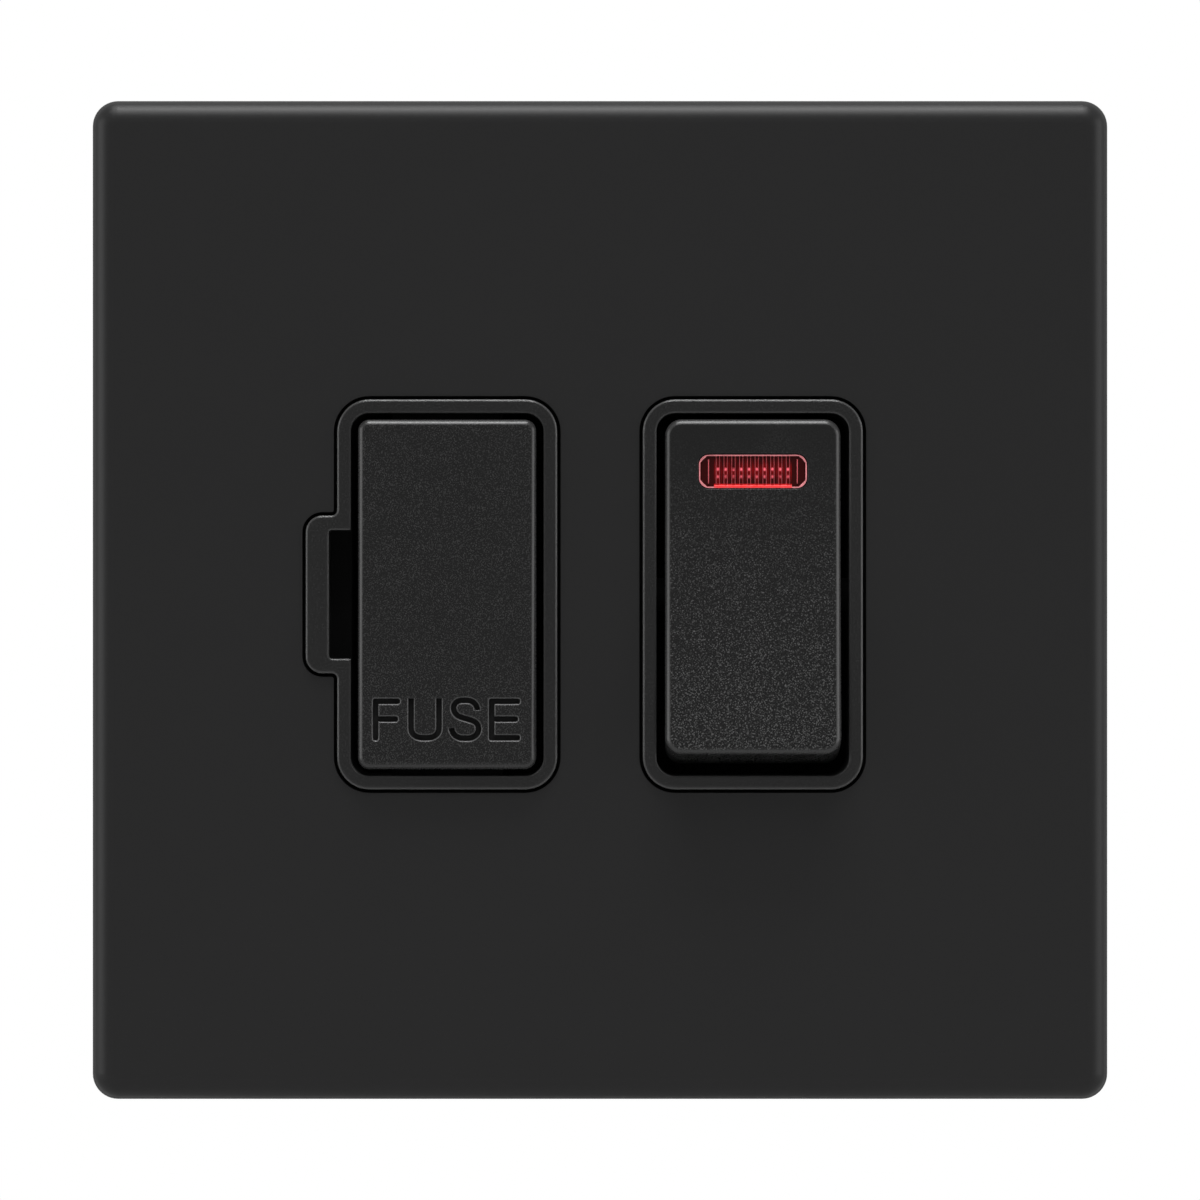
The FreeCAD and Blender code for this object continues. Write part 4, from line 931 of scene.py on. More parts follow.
class Bench:
    """Mesh modelling by Blender's operators, on one piece at a time."""

    def __init__(self, name: str) -> None:
        """Starts a piece.

        Args:
            name: Name of the finished object.
        """
        self.name = name
        self.obj: Optional[bpy.types.Object] = None

    @staticmethod
    def clear() -> None:
        """Deselects every object."""
        bpy.ops.object.select_all(action="DESELECT")

    @classmethod
    def only(cls, obj: bpy.types.Object) -> None:
        """Selects one object and makes it the active one.

        Args:
            obj: The object.
        """
        cls.clear()
        obj.select_set(True)
        bpy.context.view_layer.objects.active = obj

    def _take(self) -> "Bench":
        """Keeps the object that an operator has just added.

        Returns:
            This bench.
        """
        self.obj = bpy.context.view_layer.objects.active
        self.obj.name = self.name
        return self

    def block(self, low: Point, high: Point) -> "Bench":
        """A box.

        Args:
            low: Its lowest corner.
            high: Its highest corner.

        Returns:
            This bench, as every step does that can be followed by another.
        """
        self.clear()
        middle = [(a + b) / 2 for a, b in zip(low, high)]
        bpy.ops.mesh.primitive_cube_add(size=1.0, location=middle)
        self._take()
        self.obj.scale = [b - a for a, b in zip(low, high)]
        return self.settle()

    def disc(self, centre: Point, radius: float, sides: int) -> "Bench":
        """A filled circle that faces +Y.

        Args:
            centre: Its middle.
            radius: Its radius.
            sides: Its number of corners.

        Returns:
            This bench.
        """
        self.clear()
        quarter = (-math.pi / 2, 0, 0)
        bpy.ops.mesh.primitive_circle_add(
            vertices=sides, radius=radius, fill_type="NGON", location=centre, rotation=quarter
        )
        return self._take().settle()

    def copy_of(self, node: bpy.types.Object) -> "Bench":
        """A changed copy of a CAD node starts here: its loose triangles are merged.

        Args:
            node: The CAD node.

        Returns:
            This bench.
        """
        self.obj = node.copy()
        self.obj.data = node.data.copy()
        self.obj.name = self.name
        self.obj.parent = None
        for key in list(self.obj.keys()):
            del self.obj[key]
        bpy.context.scene.collection.objects.link(self.obj)
        self.only(self.obj)
        if self.obj.data.has_custom_normals:
            bpy.ops.mesh.customdata_custom_splitnormals_clear()
        return self.edit().weld(ONE_POINT).leave()

    def twin(
        self, name: str, offset: Point, turn: float = 0.0, centre: Point = (0.0, 0.0, 0.0)
    ) -> "Bench":
        """A copy with its own mesh, turned about a line along Y and then moved.

        Args:
            name: Name of the copy.
            offset: How far it is moved.
            turn: Angle about Y, in radians.
            centre: A point on the line it is turned about.

        Returns:
            The copy's bench.
        """
        other = Bench(name)
        other.obj = self.obj.copy()
        other.obj.data = self.obj.data.copy()
        other.obj.name = name
        bpy.context.scene.collection.objects.link(other.obj)
        middle = Matrix.Translation(Vector(centre))
        turned = middle @ Matrix.Rotation(turn, 4, "Y") @ middle.inverted()
        other.obj.data.transform(Matrix.Translation(Vector(offset)) @ turned)
        return other

    def row(self, count: int, pitch: float) -> List["Bench"]:
        """Copies in a row along X about the middle, in the place of this piece.

        Args:
            count: How many.
            pitch: From one to the next.

        Returns:
            The copies' benches.
        """
        start = -(count - 1) / 2 * pitch
        made = [self.twin(f"{self.name}_{k}", (start + k * pitch, 0.0, 0.0)) for k in range(count)]
        bpy.data.objects.remove(self.obj)
        return made

    def settle(self) -> "Bench":
        """Puts the object's place, turn and scale into its mesh.

        Returns:
            This bench.
        """
        self.only(self.obj)
        bpy.ops.object.transform_apply(location=True, rotation=True, scale=True)
        return self

    def edit(self, mode: str = "FACE") -> "Bench":
        """Opens the mesh for editing with nothing selected.

        Args:
            mode: What is picked, FACE or EDGE.

        Returns:
            This bench.
        """
        self.only(self.obj)
        bpy.ops.object.mode_set(mode="EDIT")
        bpy.ops.mesh.select_mode(type=mode)
        bpy.ops.mesh.select_all(action="DESELECT")
        return self

    def leave(self) -> "Bench":
        """Closes the mesh."""
        bpy.ops.object.mode_set(mode="OBJECT")
        return self

    def weld(self, reach: float) -> "Bench":
        """Merges doubled points and ends with nothing selected.

        Args:
            reach: How near they are.

        Returns:
            This bench.
        """
        bpy.ops.mesh.select_all(action="SELECT")
        bpy.ops.mesh.remove_doubles(threshold=reach)
        bpy.ops.mesh.select_all(action="DESELECT")
        return self

    def outward(self) -> "Bench":
        """Turns every face outwards.

        Returns:
            This bench.
        """
        bpy.ops.mesh.select_all(action="SELECT")
        bpy.ops.mesh.normals_make_consistent(inside=False)
        return self

    def faces(self, test: Callable[[Vector, Vector], bool]) -> "Bench":
        """Selects faces.

        Args:
            test: Says yes or no to a face's middle and normal.

        Returns:
            This bench.
        """
        mesh = bmesh.from_edit_mesh(self.obj.data)
        for face in mesh.faces:
            face.select_set(bool(test(face.calc_center_median(), face.normal)))
        return self._show(mesh)

    def edges(self, test: Callable[[Vector, Vector], bool]) -> "Bench":
        """Selects edges.

        Args:
            test: Says yes or no to an edge's two ends.

        Returns:
            This bench.
        """
        mesh = bmesh.from_edit_mesh(self.obj.data)
        for edge in mesh.edges:
            edge.select_set(bool(test(edge.verts[0].co, edge.verts[1].co)))
        return self._show(mesh)

    def _show(self, mesh: bmesh.types.BMesh) -> "Bench":
        """Hands a changed selection back to the editor.

        Args:
            mesh: The mesh that is edited.

        Returns:
            This bench.
        """
        mesh.select_flush_mode()
        bmesh.update_edit_mesh(self.obj.data)
        return self

    def inset(self, width: float) -> "Bench":
        """Insets the selected faces."""
        bpy.ops.mesh.inset(thickness=width, depth=0)
        return self

    def pull(self, by: Point) -> "Bench":
        """Extrudes the selected faces by a distance."""
        bpy.ops.mesh.extrude_region_move(TRANSFORM_OT_translate={"value": by})
        return self

    def shift(self, by: Point) -> "Bench":
        """Moves what is selected."""
        bpy.ops.transform.translate(value=by)
        return self

    def swell(self, by: Point, about: Point) -> "Bench":
        """Scales what is selected about a point."""
        bpy.ops.transform.resize(value=by, center_override=about)
        return self

    def bevel(self, width: float, segments: int = 2) -> "Bench":
        """Bevels the selected edges."""
        bpy.ops.mesh.bevel(offset=width, segments=segments, affect="EDGES", clamp_overlap=True)
        return self

    def eased(
        self, test: Callable[[Vector, Vector], bool], width: float, segments: int
    ) -> "Bench":
        """Bevels the edges of a closed mesh that pass a test.

        Args:
            test: Says yes or no to an edge's two ends.
            width: Width of the bevel.
            segments: Number of its faces.

        Returns:
            This bench.
        """
        return self.edit("EDGE").edges(test).bevel(width, segments).leave()

    def modifier(self, kind: str, **settings: Any) -> "Bench":
        """Adds a modifier and applies it.

        Args:
            kind: Blender's name of the modifier type.
            **settings: Its properties.

        Returns:
            This bench.
        """
        self.only(self.obj)
        added = self.obj.modifiers.new(kind.lower(), kind)
        for key, value in settings.items():
            setattr(added, key, value)
        bpy.ops.object.modifier_apply(modifier=added.name)
        return self

    def cut(self, tool: "Bench") -> "Bench":
        """Cuts another piece out of this one and drops it.

        Args:
            tool: Its bench.

        Returns:
            This bench.
        """
        self.modifier("BOOLEAN", operation="DIFFERENCE", object=tool.obj, solver="EXACT")
        bpy.data.objects.remove(tool.obj)
        return self

    def join(self, others: Sequence["Bench"]) -> "Bench":
        """Takes other pieces into this object.

        Args:
            others: Their benches.

        Returns:
            This bench.
        """
        self.clear()
        for other in (*others, self):
            other.obj.select_set(True)
        bpy.context.view_layer.objects.active = self.obj
        bpy.ops.object.join()
        self.obj.name = self.name
        return self

    def smooth(self, degrees: float) -> "Bench":
        """Shades round faces smooth and keeps flat ones flat.

        Args:
            degrees: The widest angle that still counts as round.

        Returns:
            This bench.
        """
        self.only(self.obj)
        angle = math.radians(degrees)
        bpy.ops.object.shade_smooth_by_angle(angle=angle, keep_sharp_edges=True)
        return self.modifier(
            "WEIGHTED_NORMAL", mode="FACE_AREA", weight=NORMAL_WEIGHT, keep_sharp=True
        )

    def done(
        self, body: str, slot: str, material: bpy.types.Material, nodes: Sequence[str]
    ) -> bpy.types.Object:
        """Dresses the piece and hands it to the frame.

        Args:
            body: The CAD body that it rides on.
            slot: The record's material slot; not used.
            material: Its finish.
            nodes: The CAD nodes that it stands for.

        Returns:
            The object.
        """
        self.obj.data.materials.clear()
        self.obj.data.materials.append(material)
        self.obj.data.name = self.name
        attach(self.obj, body)
        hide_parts(*nodes)
        LOG.info("%s: %d faces, rides on %s", self.name, len(self.obj.data.polygons), body)
        return self.obj


WORD_X, WORD_Z = (-20.9 * MM, -6.9 * MM), (-12.9 * MM, -8.5 * MM)


@dataclass
class Wardrobe:
    """Every finish of the unit, made once and shared."""

    made: Dict[str, bpy.types.Material] = field(default_factory=dict)

    FINISHES = (
        Moulding(
            "plate_plastic",
            (0.0088, 0.0088, 0.0089),
            roughness=0.38,
            specular=0.10,
            grain_depth=0.001 * MM,
            # a rougher, slightly paler finish behind the plate's front; no painted shade here
            matt_and_shaded=(Region(y=(-5.4 * MM, FAR_BACK)),),
            matt_and_shade_colour=(0.0120, 0.0120, 0.0121),
            matt_roughness=0.6,
        ),
        Moulding(
            "housing_plastic",
            grey(0.0011),
            roughness=0.2,
            specular=0.23,
            grain_size=0.15 * MM,
            grain_depth=0.003 * MM,
            mottle=5.5,
            contrast=5.5,
            share=0.22,
            soft_edge=0.36 * MM,
            # painted highlights on the bezel's roundings
            painted_rim_highlights=((Region(y=(-7.5 * MM, -6.5 * MM)), grey(0.034)),),
            # painted shade inside the wells
            matt_and_shaded=(Region(y=(-6.3 * MM, FAR_BACK)),),
        ),
        Moulding(
            "case_plastic", grey(0.02), roughness=0.5, grain_size=0.4 * MM, grain_depth=0.006 * MM
        ),
        Moulding(
            "carrier_plastic",
            grey(0.0021),
            roughness=0.27,
            specular=0.195,
            grain_size=0.115 * MM,
            grain_depth=0.006 * MM,
            mottle=9.0,
            contrast=6.5,
            share=0.12,
            middle=0.54,
            # painted highlights on the cap's roundings and on the walls of the sunk letters
            painted_rim_highlights=(
                (Region(y=(-8.2 * MM, -7.2 * MM)), grey(0.013)),
                (Region(x=WORD_X, y=(-8.2 * MM, -7.78 * MM), z=WORD_Z), grey(0.042)),
            ),
            # painted shade deep in the drawer and on the floors of the sunk letters
            matt_and_shaded=(
                Region(y=(-6.9 * MM, FAR_BACK)),
                Region(x=WORD_X, y=(-7.76 * MM, -6.9 * MM), z=WORD_Z),
            ),
        ),
        SparkedMoulding(
            "rocker_plastic",
            grey(0.0040),
            roughness=0.28,
            specular=0.185,
            grain_size=0.11 * MM,
            grain_depth=0.006 * MM,
            mottle=11.8,
            contrast=12.0,
            share=0.25,
            middle=0.57,
            # painted light: the grain paler and more speckled toward the rocker's foot
            lit_foot_span=(-13.0 * MM, 9.0 * MM),
            # painted highlights on the rocker's roundings
            painted_rim_highlights=((Region(y=(-12.0 * MM, -4.5 * MM)), grey(0.017)),),
            # painted shade deep in the rocker and on the walls round the lens window
            matt_and_shaded=(
                Region(y=(-4.0 * MM, FAR_BACK)),
                Region(
                    x=(8.7 * MM, 18.8 * MM), y=(-7.36 * MM, -4.0 * MM), z=(9.8 * MM, 13.3 * MM)
                ),
            ),
        ),
        Plated("zinc_steel", (0.55, 0.56, 0.58), rolled=Axis.X),
        Plated("fuse_cap_metal", (0.74, 0.73, 0.70), roughness=0.2, spangle=0.7 * MM),
        Plated("contact_silver", (0.86, 0.86, 0.84), roughness=0.22, spangle=0.5 * MM),
        CutMetal(
            "spring_steel", (0.5, 0.5, 0.52), Axis.Y, pitch=0.05 * MM, tarnish=(0.3, 0.28, 0.25)
        ),
        CutMetal(
            "lead_wire", (0.72, 0.72, 0.71), Axis.Z, pitch=0.07 * MM, tarnish=(0.4, 0.4, 0.38)
        ),
        CutMetal("terminal_brass", (0.72, 0.56, 0.28), Axis.Z, tarnish=(0.42, 0.3, 0.12)),
        CutMetal(
            "plunger_brass", (0.74, 0.58, 0.30), Axis.Y, pitch=0.06 * MM, tarnish=(0.45, 0.32, 0.14)
        ),
        CutMetal("clip_bronze", (0.66, 0.45, 0.25), Axis.X, tarnish=(0.36, 0.2, 0.1)),
        CutMetal("strip_copper", (0.72, 0.42, 0.28), Axis.X, tarnish=(0.38, 0.18, 0.1)),
        Fired("fuse_ceramic", (0.82, 0.80, 0.74)),
        Lacquered(
            "resistor_ceramic",
            (0.55, 0.42, 0.30),
            middle=13.75 * MM,
            pitch=0.9 * MM,
            band=(0.14, 0.05, 0.02),
        ),
        LampGlass("lamp_glass"),
        LensRed("lens_plastic"),
    )

    def material(self, slot: str) -> bpy.types.Material:
        """The finish of a material slot; all are made at the first call.

        Args:
            slot: Name of the slot.

        Returns:
            The material.
        """
        if not self.made:
            self.made = {finish.name: finish.material() for finish in self.FINISHES}
        return self.made[slot]

    def dress(self, frame: Dict[str, Any]) -> None:
        """Gives every CAD node the finish of its slot.

        Args:
            frame: The loaded CAD frame.
        """
        for part in frame["record"]["subparts"]:
            obj = frame["nodes"][part["node"]]
            material = self.material(part["material_slot"])
            if not obj.data.materials:
                obj.data.materials.append(material)
            for place in obj.material_slots:
                place.material = material
            LOG.info("%s wears %s", part["node"], part["material_slot"])


@dataclass
class FuseDrawer:
    """The fuse carrier with the word that is sunk into its cap."""

    cap_face: float = -7.9 * MM
    mouth: float = 0.50 * MM
    floor: float = 0.42 * MM
    depth: float = 0.4 * MM
    above: float = 0.1 * MM
    softening: float = 0.06 * MM
    chamfer: float = 0.09 * MM
    top: float = -9.10 * MM
    waist: float = -10.70 * MM
    bottom: float = -12.38 * MM
    letter_f: Point = (-20.17 * MM, -18.22 * MM, -18.40 * MM)
    letter_e: Point = (-9.74 * MM, -7.43 * MM, -7.62 * MM)
    corner_steps: int = 3
    curve_order: int = 4
    curve_steps: int = 6
    smooth_below: float = 30.0

    def bars(self) -> List[Tuple[Span, Span]]:
        """The straight grooves of the F and the E; a letter is its stem and the ends of its arms.

        Returns:
            The spans of their middle lines, along X and along Z.
        """
        grooves: List[Tuple[Span, Span]] = []
        letters = ((self.letter_f, (self.top,)), (self.letter_e, (self.top, self.bottom)))
        for (stem, long_arm, short_arm), heights in letters:
            grooves.append(((stem, stem), (self.bottom, self.top)))
            grooves += [((stem, long_arm), (z, z)) for z in heights]
            grooves.append(((stem, short_arm), (self.waist, self.waist)))
        return grooves

    def bar(self, name: str, x: Span, z: Span) -> Bench:
        """One straight cutter with drafted walls and softened ends.

        Args:
            name: Name of the cutter.
            x: Span of its middle line along X.
            z: Span of its middle line along Z.

        Returns:
            The cutter.
        """
        slope = self.chamfer + self.above
        half = self.mouth / 2 + slope
        low = (x[0] - half, self.cap_face - 2 * self.above, z[0] - half)
        high = (x[1] + half, self.cap_face - self.above, z[1] + half)
        middle = tuple((a + b) / 2 for a, b in zip(low, high))
        tool = Bench(name).block(low, high)
        corner = 2 * self.softening + slope
        tool.eased(lambda a, b: abs(a.y - b.y) > self.above / 2, corner, self.corner_steps)
        tool.edit("FACE").faces(lambda at, way: way.y > FACING)
        long, tall = high[0] - low[0], high[2] - low[2]
        steps = ((slope, 2 * slope), (self.depth - self.chamfer, self.mouth - self.floor))
        for drop, narrowing in steps:
            tool.pull((0.0, drop, 0.0))
            tool.swell((1 - narrowing / long, 1.0, 1 - narrowing / tall), middle)
            long, tall = long - narrowing, tall - narrowing
        return tool.leave()

    def sweep(self, name: str, points: Sequence[Span]) -> Bench:
        """A cutter that follows a smooth line over the cap.

        Args:
            name: Name of the cutter.
            points: Control points of its middle line, as X and Z in millimetres.

        Returns:
            The cutter.
        """
        outline = [
            (self.mouth / 2 + self.chamfer + self.above, self.above),
            (self.mouth / 2, -self.chamfer),
            (self.floor / 2, -self.depth),
        ]
        left = [(-wide, high, 0.0) for wide, high in outline]
        right = [(wide, high, 0.0) for wide, high in reversed(outline)]
        profile = self._line(left + right, "POLY", closed=True)
        path = self._line([(x * MM, z * MM, 0.0) for x, z in points], "NURBS", closed=False)
        path.data.bevel_mode = "OBJECT"
        path.data.bevel_object = profile
        path.data.use_fill_caps = True
        Bench.only(path)
        bpy.ops.object.convert(target="MESH")
        tool = Bench(name)
        tool.obj = bpy.context.view_layer.objects.active
        tool.obj.name = name
        bpy.data.objects.remove(profile)
        tool.obj.rotation_euler = (math.pi / 2, 0, 0)
        tool.obj.location = (0, self.cap_face, 0)
        return tool.settle().edit().weld(SAME_PLACE).outward().leave()

    def _line(self, points: Sequence[Point], kind: str, closed: bool) -> bpy.types.Object:
        """Adds a curve with one spline.

        Args:
            points: Its points.
            kind: POLY for straight lines or NURBS for a smooth one.
            closed: Whether the last point joins the first.

        Returns:
            The curve.
        """
        Bench.clear()
        bpy.ops.curve.primitive_nurbs_path_add(location=(0, 0, 0))
        curve = bpy.context.view_layer.objects.active
        curve.data.splines.clear()
        curve.data.dimensions = "2D"
        curve.data.fill_mode = "NONE"
        spline = curve.data.splines.new(kind)
        spline.points.add(len(points) - 1)
        for place, point in zip(spline.points, points):
            place.co = (*point, 1.0)
        spline.use_cyclic_u = closed
        if kind == "NURBS":
            spline.order_u = self.curve_order
            spline.use_endpoint_u = True
            spline.resolution_u = self.curve_steps
        return curve

    def letter_u(self) -> List[Span]:
        """The U, whose foot is half round.

        Returns:
            Control points as X and Z in millimetres.
        """
        left, right = -16.98, -14.47
        top, straight, turn, low, bottom = -8.83, -10.0, -11.32, -11.94, -12.38
        middle, reach = (left + right) / 2, 0.72
        down = [(left, z) for z in (top, straight, turn, low)]
        foot = [(middle + across, bottom) for across in (-reach, 0.0, reach)]
        return down + foot + [(right, z) for z in (low, turn, straight, top)]

    def letter_s(self) -> List[Span]:
        """The S: two bowls joined by a slanting middle.

        Returns:
            Control points as X and Z in millimetres.
        """
        upper = [(-11.02, -9.90), (-11.06, -9.45), (-11.50, -9.03), (-12.12, -9.00)]
        upper += [(-12.80, -9.02), (-13.22, -9.48), (-13.12, -10.10), (-12.75, -10.46)]
        slant = [(-12.20, -10.62), (-11.65, -10.78), (-11.12, -10.95)]
        lower = [(-10.86, -11.45), (-10.98, -12.05), (-11.50, -12.43), (-12.10, -12.42)]
        lower += [(-12.80, -12.42), (-13.28, -11.98), (-13.34, -11.50)]
        return upper + slant + lower

    def build(self, frame: Dict[str, Any], wardrobe: Wardrobe) -> bpy.types.Object:
        """Models the carrier with its sunk word and dresses it.

        Args:
            frame: The loaded CAD frame.
            wardrobe: The finishes.

        Returns:
            The carrier.
        """
        carrier = Bench("fuse_carrier_engraved").copy_of(frame["nodes"]["fuse_carrier"])
        for index, (x, z) in enumerate(self.bars()):
            carrier.cut(self.bar(f"groove_{index}", x, z))
        carrier.cut(self.sweep("groove_u", self.letter_u()))
        carrier.cut(self.sweep("groove_s", self.letter_s()))
        carrier.smooth(self.smooth_below)
        material = wardrobe.material("carrier_plastic")
        return carrier.done("fuse_drawer", "carrier_plastic", material, ["fuse_carrier"])


@dataclass
class IndicatorLens:
    """The red lens in the rocker: a framed window with a comb of upright ribs."""

    width: float = 9.7 * MM
    height: float = 3.0 * MM
    corner: float = 0.9 * MM
    thickness: float = 1.4 * MM
    flange: float = 0.9 * MM
    flange_thickness: float = 0.7 * MM
    overlap: float = 0.05 * MM
    border: float = 0.17 * MM
    lip: float = 0.05 * MM
    sunk: float = 0.14 * MM
    root: float = 0.1 * MM
    rib_count: int = 10
    rib_pitch: float = 0.70 * MM
    rib_width: float = 0.34 * MM
    rib_front: float = 0.03 * MM
    rib_bevel: float = 0.09 * MM
    rib_clearance: float = 0.12 * MM
    back_rib: float = 0.55 * MM
    back_rib_edge: float = 0.04
    end_bar: float = 0.86 * MM
    end_bar_width: float = 0.12 * MM
    end_bar_front: float = 0.04 * MM
    end_bar_bevel: float = 0.03 * MM
    end_bar_clearance: float = 0.3 * MM
    sill_front: float = 0.02 * MM
    sill_drop: float = 0.02 * MM
    sill_height: float = 0.26 * MM
    sill_slope: float = 0.2 * MM
    sill_inset: float = 0.15 * MM
    pivot: Point = (13.75 * MM, -1.5 * MM, 0.5 * MM)
    tilt: float = -6.0
    face_radius: float = 144.46 * MM
    face_reach: float = 6.7 * MM
    up: float = 10.4 * MM
    recess: float = 0.1 * MM
    flange_steps: int = 6
    window_steps: int = 8
    bevel_steps: int = 2
    smooth_below: float = 35.0

    def place(self) -> Matrix:
        """From the lens's own frame, whose zero is the middle of its front, to the model's.

        Returns:
            The matrix.
        """
        reach = math.sqrt(self.face_radius**2 - self.up**2)
        depth = -self.face_reach - self.face_radius + reach + self.recess
        lean = math.asin(self.up / self.face_radius)
        return (
            Matrix.Translation(Vector(self.pivot))
            @ Matrix.Rotation(math.radians(self.tilt), 4, "X")
            @ Matrix.Translation(Vector((0.0, depth, self.up)))
            @ Matrix.Rotation(lean, 4, "X")
        )

    def slab(self, name: str, grown: float, front: float, back: float, steps: int) -> Bench:
        """A plate of the window's outline with rounded corners.

        Args:
            name: Name of the piece.
            grown: How far it goes past the window all round.
            front: Its front along Y.
            back: Its back along Y.
            steps: Number of faces of a corner.

        Returns:
            The plate.
        """
        wide, high = self.width / 2 + grown, self.height / 2 + grown
        body = Bench(name).block((-wide, front, -high), (wide, back, high))
        return body.eased(lambda a, b: abs(a.y - b.y) > SAME_PLACE, self.corner, steps)

    def flange_plate(self) -> Bench:
        """The flange that holds the window from behind.

        Returns:
            The flange.
        """
        back = self.thickness + self.flange_thickness
        name = "rocker_lens_ribbed"
        return self.slab(name, self.flange, self.thickness, back, self.flange_steps)

    def window(self) -> Bench:
        """The raised window with a thin bright border and a sunk field.

        Returns:
            The window.
        """
        back = self.thickness + self.overlap
        body = self.slab("window", 0.0, 0.0, back, self.window_steps)
        body.edit("FACE").faces(lambda at, way: way.y < -FACING)
        body.inset(self.lip).inset(self.border - self.lip)
        body.inset(self.lip).shift((0.0, self.sunk, 0.0))
        return body.leave()

    def ribs(self) -> List[Bench]:
        """The comb: each rib is an upright bar whose ends slope down to the field.

        Returns:
            The ribs.
        """
        half = self.height / 2 - self.border - self.rib_clearance
        low = (-self.rib_width / 2, self.rib_front, -half)
        rib = Bench("rib").block(low, (self.rib_width / 2, self.sunk + self.root, half))
        rib.eased(
            lambda a, b: max(a.y, b.y) < self.lip and abs(a.x - b.x) < ONE_POINT,
            self.rib_bevel,
            self.bevel_steps,
        )
        return rib.row(self.rib_count, self.rib_pitch)

    def end_bars(self) -> List[Bench]:
        """The two thin upright bars near the ends.

        Returns:
            The bars.
        """
        half = self.height / 2 - self.border - self.end_bar_clearance
        made = []
        for side in (-1, 1):
            middle = side * (self.width / 2 - self.end_bar)
            low = (middle - self.end_bar_width / 2, self.end_bar_front, -half)
            high = (middle + self.end_bar_width / 2, self.sunk + self.root, half)
            bar = Bench(f"end_bar_{side}").block(low, high)
            bar.eased(
                lambda a, b: max(a.y, b.y) < self.lip, self.end_bar_bevel, self.bevel_steps
            )
            made.append(bar)
        return made

    def sill(self) -> Bench:
        """The sloping ledge below the ribs, which catches the light from above.

        Returns:
            The ledge.
        """
        half = self.rib_count * self.rib_pitch / 2 - self.sill_inset
        low = -self.height / 2 + self.border - self.sill_drop
        ledge = Bench("sill").block(
            (-half, self.sill_front, low), (half, self.sunk + self.root, low + self.sill_height)
        )
        return ledge.eased(
            lambda a, b: min(a.z, b.z) > low + self.sill_slope and max(a.y, b.y) < self.lip,
            self.sill_slope,
            1,
        )

    def back_ribs(self) -> List[Bench]:
        """The prisms behind the flange.

        Returns:
            The prisms.
        """
        back = self.thickness + self.flange_thickness
        prism = Bench("prism").block(
            (-self.rib_pitch / 2, back - self.root, -self.height / 2),
            (self.rib_pitch / 2, back + self.back_rib, self.height / 2),
        )
        prism.edit().faces(lambda at, way: way.y > FACING)
        prism.swell((self.back_rib_edge, 1.0, 1.0), (0.0, back, 0.0)).leave()
        return prism.row(self.rib_count, self.rib_pitch)

    def build(self, wardrobe: Wardrobe) -> bpy.types.Object:
        """Models the lens, puts it in the rocker and dresses it.

        Args:
            wardrobe: The finishes.

        Returns:
            The lens.
        """
        lens = self.flange_plate()
        lens.join([self.window(), self.sill(), *self.ribs(), *self.end_bars(), *self.back_ribs()])
        lens.obj.data.transform(self.place())
        lens.smooth(self.smooth_below)
        material = wardrobe.material("lens_plastic")
        return lens.done("switch_rocker", "lens_plastic", material, ["rocker_lens"])


